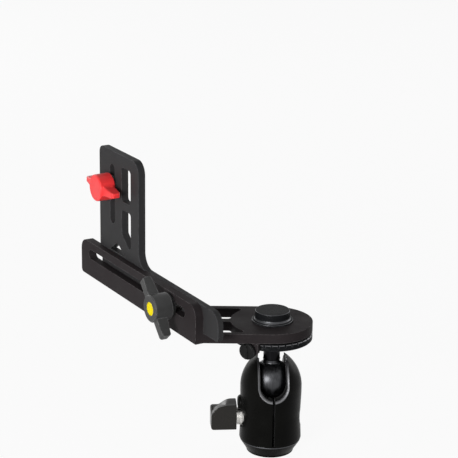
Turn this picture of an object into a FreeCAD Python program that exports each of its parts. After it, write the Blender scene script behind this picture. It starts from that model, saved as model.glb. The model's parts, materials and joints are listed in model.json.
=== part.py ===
import FreeCAD, Part
import math
import os
import re
import Sketcher

# Panoramic tripod head: a small pinch-clamp ball head that carries a click-disc rotator, an angle
# bracket with a slotted rail, and an L-shaped camera plate that slides along the rail.
# Frame: +Z up, origin on the rotator's axis at the underside of the base, the lens looks along -Y,
# and the rail stands on the -X side. Millimetres and degrees throughout.

doc = FreeCAD.newDocument("panoramic_head")

# Driving sizes: (cell name, value, what it is)
SIZES = [
    ("base_height", "9.0", "base plate, underside to seam"),
    ("base_radius", "19.0", "base plate at the seam"),
    ("base_foot_radius", "14.8", "base plate at the underside"),
    ("base_foot_height", "1.0", "upright edge at the underside"),
    ("seam_height", "0.7", "seam groove"),
    ("seam_depth", "0.8", "seam groove"),
    ("bush_radius", "6.35", "outside of the threaded bush"),
    ("tripod_thread_radius", "2.6", "wall of the tripod thread"),
    ("base_screw_circle", "10.6", "radius of the circle of base screws"),
    ("base_screw_radius", "1.5", "shank of a base screw"),
    ("base_screw_head_radius", "2.9", "countersunk head"),
    ("base_screw_count", "3", "base screws"),
    ("base_screw_grip", "4.5", "how far a base screw enters the housing"),
    ("head_turn", "-25.5", "turn of the ball head about Z, notch from -Y"),
    ("housing_foot_radius", "19.2", "housing at the seam"),
    ("waist_radius", "18.4", "housing at the waist"),
    ("waist_rise", "4.5", "waist above the lock screw's axis"),
    ("housing_radius", "19.2", "housing at its widest"),
    ("belly_drop", "4.5", "top of the widest band below the ball centre"),
    ("belly_length", "4.0", "widest band"),
    ("mouth_rise", "15.8", "rim of the mouth above the ball centre"),
    ("mouth_radius", "8.2", "mouth of the housing"),
    ("ball_radius", "12.5", "ball"),
    ("ball_centre_height", "47.5", "ball centre"),
    ("ball_clearance", "0.3", "ball to socket"),
    ("seat_thickness", "7.1", "nylon seat below the ball"),
    ("seat_rim_drop", "9.5", "rim of the nylon seat below the ball centre"),
    ("seat_clearance", "0.1", "seat in the socket"),
    ("notch_width", "15.8", "notch for tilting"),
    ("notch_drop", "6.9", "lowest point of the notch below the ball centre"),
    ("slit_width", "1.3", "pinch slit"),
    ("slit_reach", "8.0", "slit past the axis"),
    ("lock_roof", "1.0", "wall between the lock screw's bore and the socket"),
    ("lock_screw_radius", "4.0", "threaded part of the lock screw"),
    ("lock_shoulder_radius", "5.5", "shoulder between housing and knob"),
    ("lock_screw_reach", "12.0", "screw past the axis into the far cheek"),
    ("lock_clearance", "0.1", "lock screw in its bore"),
    ("spot_radius", "7.3", "recess round the lock screw"),
    ("spot_distance", "15.5", "floor of that recess from the axis"),
    ("far_spot_radius", "6.2", "shallow recess in the far cheek"),
    ("far_spot_distance", "17.2", "floor of that recess from the axis"),
    ("boss_radius", "6.9", "boss above the lock screw"),
    ("boss_rise", "6.8", "centre of the boss above the lock screw's axis"),
    ("boss_distance", "20.6", "end of the boss from the axis"),
    ("lock_washer_radius", "6.4", "washer in the recess"),
    ("lock_washer_thickness", "1.1", "washer in the recess"),
    ("lock_knob_inner", "21.6", "inner face of the lock knob from the axis"),
    ("lock_knob_length", "16.2", "lock knob along its axis"),
    ("lock_knob_up", "10.2", "hump of the lock knob above its axis"),
    ("lock_knob_wing_up", "6.5", "outer end of the lock knob above its axis"),
    ("lock_knob_down", "7.6", "lock knob below its axis"),
    ("lock_knob_thickness", "9.0", "lock knob, flat to flat"),
    ("lock_knob_hump_top", "5.5", "flat top of the hump from the inner face"),
    ("lock_knob_hump_foot", "10.8", "foot of the hump from the inner face"),
    ("lock_knob_round", "11.0", "round shoulder of the hump"),
    ("lock_knob_corner", "1.8", "other corners"),
    ("lock_knob_edge", "1.0", "softened edges"),
    ("lock_screw_head_length", "9.0", "screw held inside the knob"),
    ("stem_radius", "5.15", "stem of the ball"),
    ("stem_length", "22.2", "ball centre to the end of the stem"),
    ("neck_round", "1.2", "round between ball and stem"),
    ("stud_radius", "3.1", "stud between stem and disc"),
    ("stud_below", "7.0", "stud inside the stem"),
    ("stud_above", "3.0", "stud inside the disc hub"),
    ("hub_radius", "9.0", "hub of the index disc"),
    ("hub_depth", "5.0", "hub below the flange"),
    ("disc_radius", "25.0", "index disc"),
    ("disc_thickness", "4.0", "flange of the index disc"),
    ("disc_edge", "0.5", "chamfer of the flange"),
    ("mark_count", "36", "index notches in the rim"),
    ("mark_width", "0.9", "index notch"),
    ("mark_depth", "0.9", "index notch, radially"),
    ("mark_height", "1.6", "index notch, down from the top face"),
    ("friction_radius", "21.0", "friction washer"),
    ("friction_gap", "1.3", "space between disc and arm"),
    ("running_gap", "0.05", "running faces and shafts"),
    ("pivot_radius", "4.0", "pivot bolt"),
    ("pivot_hold", "5.0", "pivot bolt inside the disc"),
    ("pivot_bush_radius", "6.0", "bronze bush in the arm"),
    ("arm_width", "50.0", "arm, also twice the round of its end"),
    ("arm_thickness", "6.0", "arm"),
    ("arm_skew", "30.0", "lean of the arm from square to the rail"),
    ("arm_window_width", "18.4", "lightening window of the arm"),
    ("arm_back_rail", "4.6", "edge behind the windows"),
    ("arm_middle_bar", "5.2", "bar between the windows"),
    ("arm_window_start", "26.0", "round inner end of the windows, from the axis"),
    ("arm_window_stop", "6.0", "windows stop short of the rail"),
    ("arm_window_corner", "2.0", "corner of a window"),
    ("rail_distance", "49.2", "inner face of the rail from the axis"),
    ("rail_thickness", "5.5", "rail"),
    ("rail_height", "24.0", "rail"),
    ("rail_length", "158.2", "rail"),
    ("rail_corner", "7.5", "upper corners of the rail"),
    ("rail_low_corner", "2.5", "lower rear corner of the rail"),
    ("rail_slot_width", "6.5", "slot of the rail"),
    ("rail_slot_height", "15.6", "middle of the slot above the arm's underside"),
    ("rail_slot_front", "13.2", "slot end to the rail's front"),
    ("rail_slot_back", "11.4", "slot end to the rail's back"),
    ("top_washer_radius", "12.7", "washer under the top knob"),
    ("top_washer_thickness", "1.1", "washer under the top knob"),
    ("top_knob_low_radius", "11.5", "top knob at its foot"),
    ("top_knob_high_radius", "10.7", "top knob at its top"),
    ("top_knob_height", "5.8", "top knob"),
    ("top_knob_edge", "0.7", "rounded upper edge"),
    ("top_knob_skin", "2.0", "top knob above its thread"),
    ("pan_lock_turn", "207.5", "plan angle of the pan lock"),
    ("lug_gap", "0.4", "lug to the disc's rim"),
    ("lug_thickness", "2.0", "lug, radially"),
    ("lug_left", "4.5", "lug to the left of the pan lock's axis"),
    ("lug_right", "6.5", "lug to the right of the pan lock's axis"),
    ("lug_height", "9.6", "lug below the arm"),
    ("lug_low_half", "2.4", "half of the lug's lower edge"),
    ("lug_shoulder", "5.6", "lug below the arm at its right end"),
    ("pan_lock_height", "5.0", "pan lock axis below the arm"),
    ("pan_lock_radius", "2.0", "pan lock screw"),
    ("pan_lock_gap", "0.3", "tip of the screw to the disc's rim"),
    ("pan_knob_radius", "4.9", "pan lock knob"),
    ("pan_knob_length", "3.5", "pan lock knob"),
    ("pan_knob_gap", "0.5", "knob to lug"),
    ("pan_knob_grip", "2.5", "screw inside the pan lock knob"),
    ("plate_gap", "0.1", "plate to rail"),
    ("plate_lift", "0.2", "plate above the arm and the rail's top"),
    ("plate_thickness", "5.0", "upright of the camera plate"),
    ("plate_rebate", "1.3", "rebate that takes the rail"),
    ("plate_front", "-18.0", "front of the foot along Y"),
    ("plate_length", "155.5", "camera plate along Y"),
    ("foot_height", "17.8", "foot of the camera plate"),
    ("upright_width", "55.5", "upright along Y"),
    ("upright_height", "86.6", "camera plate, foot to top"),
    ("upright_front_round", "8.5", "upper front corner"),
    ("upright_back_round", "5.0", "upper back corner"),
    ("plate_inner_round", "10.0", "round between upright and foot"),
    ("foot_front_round", "9.0", "upper front corner of the foot"),
    ("foot_low_round", "3.0", "lower corners of the foot"),
    ("camera_slot_back", "18.6", "camera slot axis from the plate's back"),
    ("camera_slot_width", "6.8", "camera slot"),
    ("camera_slot_low", "37.4", "lower end of the camera slot above the foot's underside"),
    ("camera_slot_high", "77.5", "upper end of the camera slot above the foot's underside"),
    ("window_front", "11.0", "upright's front edge to its windows"),
    ("window_width", "12.6", "windows of the upright"),
    ("window_high_top", "78.5", "upper window, top above the foot's underside"),
    ("window_high_bottom", "56.0", "upper window, bottom"),
    ("window_low_top", "50.2", "lower window, top"),
    ("window_low_back", "33.8", "lower window, bottom at its back"),
    ("window_low_front", "23.6", "lower window, bottom at its front"),
    ("window_corner", "2.2", "corner of a window"),
    ("gusset_apex_back", "25.5", "triangle's apex from the plate's back"),
    ("gusset_apex", "25.8", "triangle's apex above the foot's underside"),
    ("gusset_base", "19.0", "triangle's base above the foot's underside"),
    ("gusset_half", "10.6", "half of the triangle's base"),
    ("gusset_corner", "0.8", "corner of the triangle"),
    ("clamp_place", "30.5", "clamp knob's axis along Y"),
    ("clamp_screw_radius", "3.0", "clamp screw"),
    ("clamp_washer_radius", "6.4", "washer on the rail"),
    ("clamp_washer_thickness", "1.3", "washer on the rail"),
    ("clamp_hub_radius", "8.6", "hub of the clamp knob"),
    ("clamp_hub_length", "13.4", "hub of the clamp knob"),
    ("clamp_collar_radius", "6.0", "collar of the clamp knob"),
    ("clamp_collar_length", "1.6", "collar of the clamp knob"),
    ("clamp_wing_span", "40.2", "clamp knob over its wings"),
    ("clamp_wing_width", "5.4", "wing across"),
    ("clamp_wing_inner_root", "4.2", "wing's inner edge on the axis, from the knob's inner face"),
    ("clamp_wing_outer_root", "12.5", "wing's outer edge on the axis"),
    ("clamp_wing_inner_tip", "6.6", "wing's inner edge at the tip"),
    ("clamp_wing_outer_tip", "12.2", "wing's outer edge at the tip"),
    ("clamp_wing_angle", "41.5", "wings' rest angle from upright"),
    ("cap_radius", "4.3", "coloured cap"),
    ("cap_depth", "1.6", "coloured cap"),
    ("insert_radius", "4.6", "threaded insert in the foot"),
    ("camera_place", "63.0", "camera screw above the foot's underside"),
    ("camera_screw_radius", "2.5", "shank of the camera screw"),
    ("camera_thread_radius", "3.1", "threaded end of the camera screw"),
    ("camera_thread_length", "5.2", "threaded end, past the plate"),
    ("camera_thread_gap", "0.3", "plate to the threaded end"),
    ("camera_washer_radius", "7.2", "washer under the camera knob"),
    ("camera_washer_thickness", "1.2", "washer under the camera knob"),
    ("camera_hub_radius", "8.8", "hub of the camera knob"),
    ("camera_hub_length", "11.2", "hub of the camera knob"),
    ("camera_collar_radius", "7.0", "collar of the camera knob"),
    ("camera_collar_length", "0.8", "collar of the camera knob"),
    ("camera_wing_span", "38.6", "camera knob over its wings"),
    ("camera_wing_width", "5.8", "wing across"),
    ("camera_wing_inner_root", "1.4", "wing's inner edge on the axis, from the knob's inner face"),
    ("camera_wing_outer_root", "10.2", "wing's outer edge on the axis"),
    ("camera_wing_inner_tip", "1.8", "wing's inner edge at the tip"),
    ("camera_wing_outer_tip", "8.9", "wing's outer edge at the tip"),
    ("camera_wing_angle", "86.0", "wings' rest angle from upright"),
    ("wing_tip_round", "1.8", "corner of a wing's tip"),
    ("wing_root_round", "3.0", "round between wing and hub"),
    ("wing_edge", "0.9", "softened edges of the knobs"),
    ("screw_in_knob", "9.0", "screw inside a wing knob"),
]

sheet = doc.addObject("Spreadsheet::Sheet", "sizes")
for row, (alias, number, meaning) in enumerate(SIZES, start=1):
    sheet.set(f"A{row}", meaning)
    sheet.set(f"B{row}", number)
    sheet.setAlias(f"B{row}", alias)
doc.recompute()

ALIASES = {alias for alias, number, meaning in SIZES}

# Heights inside the ball head, as formulas over the sheet's cells
BELLY_Z = "(ball_centre_height - belly_drop)"
HOUSING_TOP = "(ball_centre_height + mouth_rise)"
SOCKET_FLOOR = "(ball_centre_height - ball_radius - ball_clearance - seat_thickness)"
SEAT_RIM = "(ball_centre_height - seat_rim_drop)"
NOTCH_FLOOR = "(ball_centre_height - notch_drop)"
LOCK_Z = f"({SOCKET_FLOOR} - lock_roof - lock_screw_radius - lock_clearance)"
WAIST_Z = f"({LOCK_Z} + waist_rise)"
BOSS_Z = f"({LOCK_Z} + boss_rise)"

# Heights of the stacked pieces
HUB_Z = "(ball_centre_height + stem_length)"
DISC_Z = f"({HUB_Z} + hub_depth)"
DISC_TOP = f"({DISC_Z} + disc_thickness)"
ARM_Z = f"({DISC_TOP} + friction_gap)"
ARM_TOP = f"({ARM_Z} + arm_thickness)"
RAIL_TOP = f"({ARM_Z} + rail_height)"
SLOT_Z = f"({ARM_Z} + rail_slot_height)"
RAIL_FRONT = "((rail_distance - arm_width/2*sin(arm_skew))*tan(arm_skew) - arm_width/2*cos(arm_skew))"
FOOT_Z = f"({ARM_TOP} + plate_lift)"
PLATE_TOP = f"({FOOT_Z} + upright_height)"
PLATE_BACK = "(plate_front + plate_length)"
UPRIGHT_FRONT = f"({PLATE_BACK} - upright_width)"
LEDGE_Z = f"({RAIL_TOP} + plate_lift)"
PLATE_FACE = "(rail_distance - plate_gap)"          # foot's outer face, distance from the axis
PLATE_INNER = f"({PLATE_FACE} - plate_thickness + plate_rebate)"
UPRIGHT_OUTER = f"({PLATE_FACE} + plate_rebate)"
RAIL_OUTER = "(rail_distance + rail_thickness)"
CAMERA_Y = f"({PLATE_BACK} - camera_slot_back)"
CAMERA_Z = f"({FOOT_Z} + camera_place)"
LUG_INNER = "(disc_radius + lug_gap)"
LUG_OUTER = f"({LUG_INNER} + lug_thickness)"
PAN_LOCK_Z = f"({ARM_Z} - pan_lock_height)"


def over_sheet(formula):
    """The formula with each cell name written as the sheet's own cell."""
    return re.sub(r"[a-z][a-z_]*", lambda m: "sizes." + m[0] if m[0] in ALIASES else m[0], str(formula))


def bind(thing, prop, formula):
    thing.setExpression(prop, over_sheet(formula))


def value(formula):
    return float(sheet.evalExpression(over_sheet(formula)))


def new_body(name):
    body = doc.addObject("PartDesign::Body", name)
    body.Label = name
    return body


def origin_part(body, role):
    return next(part for part in body.Origin.OriginFeatures if part.Role == role)


def new_sketch(body, name, role="XY_Plane", height="0", turn="0"):
    """An empty sketch on one of the body's origin planes, lifted and turned by formulas."""
    sketch = body.newObject("Sketcher::SketchObject", f"{body.Name}_{name}")
    sketch.AttachmentSupport = [(origin_part(body, role), "")]
    sketch.MapMode = "FlatFace"
    bind(sketch, "AttachmentOffset.Base.z", height)
    bind(sketch, "AttachmentOffset.Rotation.Angle", turn)
    return sketch


def hold(sketch, kind, item, point, formula):
    """Tie one coordinate of a point, or a radius, to a formula."""
    number = value(formula)
    if kind == "Radius":
        index = sketch.addConstraint(Sketcher.Constraint(kind, item, number))
    else:
        index = sketch.addConstraint(Sketcher.Constraint(kind, item, point, number))
    bind(sketch, f"Constraints[{index}]", formula)


def circle(sketch, x, y, radius):
    middle = FreeCAD.Vector(value(x), value(y), 0)
    item = sketch.addGeometry(Part.Circle(middle, FreeCAD.Vector(0, 0, 1), value(radius)), False)
    hold(sketch, "DistanceX", item, 3, x)
    hold(sketch, "DistanceY", item, 3, y)
    hold(sketch, "Radius", item, 0, radius)


def outline(sketch, *corners):
    """A closed outline, counter-clockwise. A corner is (x, y), or (x, y, centre x, centre y, turn)
    where an arc leaves it about that centre, turn 1 bulging outwards and -1 inwards."""
    spots = [FreeCAD.Vector(value(corner[0]), value(corner[1]), 0) for corner in corners]
    sides = []
    for index, corner in enumerate(corners):
        start = spots[index]
        end = spots[(index + 1) % len(spots)]
        if len(corner) == 2:
            item = sketch.addGeometry(Part.LineSegment(start, end), False)
            sides.append((item, 1, 2, None))
            continue
        middle = FreeCAD.Vector(value(corner[2]), value(corner[3]), 0)
        ring = Part.Circle(middle, FreeCAD.Vector(0, 0, 1), (start - middle).Length)
        ends = [ring.parameter(start), ring.parameter(end)]
        first, last = ends if corner[4] > 0 else reversed(ends)
        item = sketch.addGeometry(Part.ArcOfCircle(ring, first, last), False)
        sides.append((item, 1, 2, end - middle) if corner[4] > 0 else (item, 2, 1, end - middle))
        hold(sketch, "DistanceX", item, 3, corner[2])
        hold(sketch, "DistanceY", item, 3, corner[3])
    for index, corner in enumerate(corners):
        item, start_point, end_point, spoke = sides[index]
        before = sides[index - 1]
        sketch.addConstraint(Sketcher.Constraint("Coincident", before[0], before[2], item, start_point))
        arrives_on_arc = before[3] is not None
        if not arrives_on_arc or abs(before[3].y) > abs(before[3].x):
            hold(sketch, "DistanceX", item, start_point, corner[0])
        if not arrives_on_arc or abs(before[3].y) <= abs(before[3].x):
            hold(sketch, "DistanceY", item, start_point, corner[1])


def box_outline(sketch, low_x, low_y, high_x, high_y):
    outline(sketch, (low_x, low_y), (high_x, low_y), (high_x, high_y), (low_x, high_y))


def slot_outline(sketch, low_x, low_y, high_x, high_y, half_width, upright):
    """A slot with round ends between two end centres."""
    if upright:
        outline(sketch,
                (f"{low_x} + {half_width}", low_y), (f"{high_x} + {half_width}", high_y, high_x, high_y, 1),
                (f"{high_x} - {half_width}", high_y), (f"{low_x} - {half_width}", low_y, low_x, low_y, 1))
    else:
        outline(sketch,
                (low_x, f"{low_y} - {half_width}"), (high_x, f"{high_y} - {half_width}", high_x, high_y, 1),
                (high_x, f"{high_y} + {half_width}"), (low_x, f"{low_y} + {half_width}", low_x, low_y, 1))


def feature(body, kind, name):
    item = body.newObject(f"PartDesign::{kind}", f"{body.Name}_{name}")
    body.Tip = item
    return item


def pad(body, sketch, length, side="One side", back=False):
    item = feature(body, "Pad", f"pad_{sketch.Name}")
    item.Profile = sketch
    item.SideType = side
    item.Reversed = back
    bind(item, "Length", length)
    doc.recompute()
    return item


def cut(body, sketch, length, side="One side", back=False):
    """Cut the sketch's outline away, and make sure that something was cut."""
    before = body.Tip.Shape.Volume
    item = feature(body, "Pocket", f"cut_{sketch.Name}")
    item.Profile = sketch
    item.SideType = side
    item.Reversed = back
    bind(item, "Length", length)
    doc.recompute()
    if item.Shape.Volume > before - 1e-3:
        raise ValueError(f"{item.Name} cuts nothing")
    return item


def turned(body, name, *corners):
    """Spin a half profile, given as radius and height, about the body's Z axis."""
    sketch = new_sketch(body, name, "XZ_Plane")
    outline(sketch, *corners)
    item = feature(body, "Revolution", f"turn_{name}")
    item.Profile = sketch
    item.ReferenceAxis = (sketch, ["V_Axis"])
    item.Angle = 360
    doc.recompute()
    return item


def edges_where(item, wanted):
    return [f"Edge{n}" for n, edge in enumerate(item.Shape.Edges, start=1) if wanted(edge)]


def soften(body, kind, radius, wanted):
    """Fillet or chamfer the wanted edges of the body so far."""
    base = body.Tip
    names = edges_where(base, wanted)
    item = feature(body, kind, f"{kind.lower()}_{len(body.Group)}")
    item.Base = (base, names)
    bind(item, "Radius" if kind == "Fillet" else "Size", radius)
    doc.recompute()
    return item


def along(edge, axis, *spots):
    """Whether a straight edge runs along an axis, 0 to 2, through one of the spots in the plane
    square to it."""
    if edge.Curve.TypeId != "Part::GeomLine" or len(edge.Vertexes) < 2:
        return False
    start, end = (vertex.Point for vertex in edge.Vertexes)
    others = [i for i in range(3) if i != axis]
    if any(abs(start[i] - end[i]) > 1e-4 for i in others):
        return False
    return any(all(abs(start[i] - value(f)) < 1e-3 for i, f in zip(others, spot)) for spot in spots)


def around(body, item, count):
    """Repeat a feature round the body's Z axis."""
    pattern = feature(body, "PolarPattern", f"ring_{item.Name}")
    pattern.Originals = [item]
    pattern.Axis = (origin_part(body, "Z_Axis"), [""])
    pattern.Angle = 360
    bind(pattern, "Occurrences", count)
    body.Tip = pattern
    doc.recompute()
    return pattern


def place(body, z="0", turn="0"):
    bind(body, "Placement.Base.z", z)
    bind(body, "Placement.Rotation.Angle", turn)


# ---------------------------------------------------------------- ball head

def base_plate():
    body = new_body("base_plate")
    turned(body, "profile",
           ("bush_radius", "0"), ("base_foot_radius", "0"), ("base_foot_radius", "base_foot_height"),
           ("base_radius", "base_height - 2*seam_height"), ("base_radius", "base_height - seam_height"),
           ("base_radius - seam_depth", "base_height - seam_height"),
           ("base_radius - seam_depth", "base_height"), ("bush_radius", "base_height"))
    shank = new_sketch(body, "shank")
    circle(shank, "base_screw_circle", "0", "base_screw_radius")
    around(body, cut(body, shank, "base_height", back=True), "base_screw_count")
    sink = new_sketch(body, "sink")
    circle(sink, "base_screw_circle", "0", "base_screw_head_radius")
    around(body, cut(body, sink, "base_screw_head_radius - base_screw_radius + 0.6", back=True),
           "base_screw_count")
    place(body, turn="90 + head_turn")
    return body


def base_bush():
    body = new_body("base_bush")
    turned(body, "profile", ("tripod_thread_radius", "0"), ("bush_radius", "0"),
           ("bush_radius", "base_height"), ("tripod_thread_radius", "base_height"))
    return body


def base_screws():
    body = new_body("base_screws")
    body.AllowCompound = True
    head = new_sketch(body, "head", height="0.3")
    circle(head, "base_screw_circle", "0", "base_screw_head_radius - 0.1")
    first = pad(body, head, "base_screw_head_radius - base_screw_radius + 0.3")
    heads = around(body, first, "base_screw_count")
    shank = new_sketch(body, "shank", height="1.0")
    circle(shank, "base_screw_circle", "0", "base_screw_radius")
    around(body, pad(body, shank, "base_height - 1.3 + base_screw_grip"), "base_screw_count")
    place(body, turn="90 + head_turn")
    return body


def housing():
    body = new_body("housing")
    socket = "(ball_radius + ball_clearance)"
    rise = "(mouth_rise + belly_drop)"
    dome = f"((mouth_radius^2 + {rise}^2 - housing_radius^2)/(2*(mouth_radius - housing_radius)))"
    rim = f"(ball_centre_height + sqrt({socket}^2 - mouth_radius^2))"
    turned(body, "profile",
           ("0", "base_height"), ("housing_foot_radius", "base_height"), ("waist_radius", WAIST_Z),
           ("housing_radius", f"{BELLY_Z} - belly_length"),
           ("housing_radius", BELLY_Z, dome, BELLY_Z, 1), ("mouth_radius", HOUSING_TOP),
           ("mouth_radius", rim, "0", "ball_centre_height", -1), (socket, "ball_centre_height"),
           (socket, SOCKET_FLOOR), ("0", SOCKET_FLOOR))
    boss = new_sketch(body, "boss", "YZ_Plane", "-boss_distance")
    circle(boss, "0", BOSS_Z, "boss_radius")
    pad(body, boss, "boss_distance - ball_radius - ball_clearance - 1.5")
    soften(body, "Fillet", "1.5", lambda e: is_ring_at(e, 0, "-boss_distance"))
    spot = new_sketch(body, "spot", "YZ_Plane", "-spot_distance")
    circle(spot, "0", LOCK_Z, "spot_radius")
    cut(body, spot, "housing_radius")
    far_spot = new_sketch(body, "far_spot", "YZ_Plane", "far_spot_distance")
    circle(far_spot, "0", LOCK_Z, "far_spot_radius")
    cut(body, far_spot, "housing_radius", back=True)
    notch = new_sketch(body, "notch", "XZ_Plane")
    half = "notch_width/2"
    notch_middle = f"{NOTCH_FLOOR} + {half}"
    outline(notch,
            (f"-{half}", notch_middle, "0", notch_middle, 1),
            (half, notch_middle), (half, f"{HOUSING_TOP} + 1"), (f"-{half}", f"{HOUSING_TOP} + 1"))
    cut(body, notch, "2*housing_radius + 2", "Symmetric")
    slit = new_sketch(body, "slit", height="base_height")
    box_outline(slit, "-slit_width/2", "-housing_radius - 1", "slit_width/2", "slit_reach")
    cut(body, slit, f"{NOTCH_FLOOR} - base_height + 1", back=True)
    bore = new_sketch(body, "bore", "YZ_Plane", "-housing_radius")
    circle(bore, "0", LOCK_Z, "lock_screw_radius + lock_clearance")
    cut(body, bore, "housing_radius + lock_screw_reach + 0.5", back=True)
    screw = new_sketch(body, "screw", height="base_height")
    circle(screw, "0", "base_screw_circle", "base_screw_radius")
    around(body, cut(body, screw, "base_screw_grip + 0.4", back=True), "base_screw_count")
    place(body, turn="head_turn")
    return body


def is_ring_at(edge, axis, formula):
    """Whether an edge is a full circle in the plane at that place along the axis."""
    if edge.Curve.TypeId != "Part::GeomCircle":
        return False
    return abs(edge.Curve.Center[axis] - value(formula)) < 1e-3 and abs(abs(edge.Curve.Axis[axis]) - 1) < 1e-6


def ball_seat():
    body = new_body("ball_seat")
    inner = "sqrt((ball_radius + ball_clearance)^2 - seat_rim_drop^2)"
    low = "(ball_centre_height - ball_radius - ball_clearance)"
    turned(body, "profile",
           ("0", SOCKET_FLOOR), ("ball_radius + ball_clearance - seat_clearance", SOCKET_FLOOR),
           ("ball_radius + ball_clearance - seat_clearance", SEAT_RIM),
           (inner, SEAT_RIM, "0", "ball_centre_height", -1), ("0", low))
    return body


def ball():
    body = new_body("ball")
    middle = "ball_centre_height"
    reach = "sqrt((ball_radius + neck_round)^2 - (stem_radius + neck_round)^2)"
    share = "(ball_radius/(ball_radius + neck_round))"
    turned(body, "profile",
           ("0", f"{middle} - ball_radius", "0", middle, 1),
           (f"(stem_radius + neck_round)*{share}", f"{middle} + {reach}*{share}",
            "stem_radius + neck_round", f"{middle} + {reach}", -1),
           ("stem_radius", f"{middle} + {reach}"), ("stem_radius", HUB_Z), ("stud_radius", HUB_Z),
           ("stud_radius", f"{HUB_Z} - stud_below - 0.5"), ("0", f"{HUB_Z} - stud_below - 0.5"))
    place(body, turn="head_turn")
    return body


def rod(name, radius, low, high, turn="0"):
    """A plain round rod on the Z axis."""
    body = new_body(name)
    sketch = new_sketch(body, "round", height=low)
    circle(sketch, "0", "0", radius)
    pad(body, sketch, f"{high} - ({low})")
    place(body, turn=turn)
    return body


def ring(name, inner, outer, low, high):
    """A plain ring on the Z axis."""
    body = new_body(name)
    turned(body, "profile", (inner, low), (outer, low), (outer, high), (inner, high))
    return body


# ---------------------------------------------------------------- lock of the ball head

def lock_screw():
    body = new_body("lock_screw")
    thread = new_sketch(body, "thread", "YZ_Plane", "-lock_knob_inner - lock_screw_head_length")
    circle(thread, "0", LOCK_Z, "lock_screw_radius")
    pad(body, thread, "lock_knob_inner + lock_screw_head_length + lock_screw_reach")
    shoulder = new_sketch(body, "shoulder", "YZ_Plane", "-lock_knob_inner")
    circle(shoulder, "0", LOCK_Z, "lock_shoulder_radius")
    pad(body, shoulder, "lock_knob_inner - spot_distance - lock_washer_thickness - running_gap")
    place(body, turn="head_turn")
    return body


def lock_washer():
    body = new_body("lock_washer")
    sketch = new_sketch(body, "ring", "YZ_Plane", "-spot_distance - lock_washer_thickness - running_gap")
    circle(sketch, "0", LOCK_Z, "lock_washer_radius")
    circle(sketch, "0", LOCK_Z, "lock_screw_radius")
    pad(body, sketch, "lock_washer_thickness")
    place(body, turn="head_turn")
    return body


def lock_knob():
    body = new_body("lock_knob")
    side = new_sketch(body, "side", "XZ_Plane")
    outer = "(-lock_knob_inner - lock_knob_length)"
    low = f"({LOCK_Z} - lock_knob_down)"
    hump = ("(-lock_knob_inner - lock_knob_hump_top)", f"({LOCK_Z} + lock_knob_up)")
    foot = ("(-lock_knob_inner - lock_knob_hump_foot)", f"({LOCK_Z} + lock_knob_wing_up)")
    end = (outer, f"({LOCK_Z} + lock_knob_wing_up)")
    outline(side, (outer, low), ("-lock_knob_inner", low), ("-lock_knob_inner", hump[1]), hump, foot, end)
    pad(body, side, "lock_knob_thickness", "Symmetric")
    soften(body, "Fillet", "lock_knob_round", lambda e: along(e, 1, hump))
    soften(body, "Fillet", "lock_knob_corner", lambda e: along(e, 1, (outer, low), foot, end))
    flats = (value("lock_knob_thickness/2"), -value("lock_knob_thickness/2"))
    soften(body, "Fillet", "lock_knob_edge",
           lambda e: any(all(abs(v.Point.y - flat) < 1e-4 for v in e.Vertexes) for flat in flats))
    hole = new_sketch(body, "hole", "YZ_Plane", "-lock_knob_inner")
    circle(hole, "0", LOCK_Z, "lock_screw_radius")
    cut(body, hole, "lock_screw_head_length")
    place(body, turn="head_turn")
    return body


# ---------------------------------------------------------------- rotator

def index_disc():
    body = new_body("index_disc")
    turned(body, "profile",
           ("0", f"{HUB_Z} + stud_above"), ("stud_radius", f"{HUB_Z} + stud_above"), ("stud_radius", HUB_Z),
           ("hub_radius", HUB_Z), ("hub_radius", DISC_Z), ("disc_radius - disc_edge", DISC_Z),
           ("disc_radius", f"{DISC_Z} + disc_edge"), ("disc_radius", f"{DISC_TOP} - disc_edge"),
           ("disc_radius - disc_edge", DISC_TOP), ("pivot_radius", DISC_TOP),
           ("pivot_radius", f"{DISC_TOP} - pivot_hold"), ("0", f"{DISC_TOP} - pivot_hold"))
    mark = new_sketch(body, "mark", height=DISC_TOP)
    box_outline(mark, "disc_radius - mark_depth", "-mark_width/2", "disc_radius + 1", "mark_width/2")
    around(body, cut(body, mark, "mark_height"), "mark_count")
    place(body, turn="pan_lock_turn")
    return body


def top_knob():
    body = new_body("top_knob")
    low = f"({ARM_TOP} + running_gap + top_washer_thickness)"
    high = f"({low} + top_knob_height)"
    turned(body, "profile",
           ("pivot_radius + running_gap", low), ("top_knob_low_radius", low),
           ("top_knob_high_radius", f"{high} - top_knob_edge", "top_knob_high_radius - top_knob_edge",
            f"{high} - top_knob_edge", 1),
           ("top_knob_high_radius - top_knob_edge", high), ("0", high),
           ("0", f"{high} - top_knob_skin"), ("pivot_radius + running_gap", f"{high} - top_knob_skin"))
    return body


def pan_lock_screw():
    body = new_body("pan_lock_screw")
    sketch = new_sketch(body, "rod", "YZ_Plane", "disc_radius + pan_lock_gap")
    circle(sketch, "0", PAN_LOCK_Z, "pan_lock_radius")
    pad(body, sketch, f"{LUG_OUTER} + pan_knob_gap + pan_knob_grip - disc_radius - pan_lock_gap")
    place(body, turn="pan_lock_turn")
    return body


def pan_lock_knob():
    body = new_body("pan_lock_knob")
    start = f"({LUG_OUTER} + pan_knob_gap)"
    sketch = new_sketch(body, "round", "YZ_Plane", start)
    circle(sketch, "0", PAN_LOCK_Z, "pan_knob_radius")
    pad(body, sketch, "pan_knob_length")
    soften(body, "Fillet", "wing_edge", lambda e: is_ring_at(e, 0, f"{start} + pan_knob_length"))
    hole = new_sketch(body, "hole", "YZ_Plane", start)
    circle(hole, "0", PAN_LOCK_Z, "pan_lock_radius")
    cut(body, hole, "pan_knob_grip", back=True)
    place(body, turn="pan_lock_turn")
    return body


# ---------------------------------------------------------------- bracket

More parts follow.
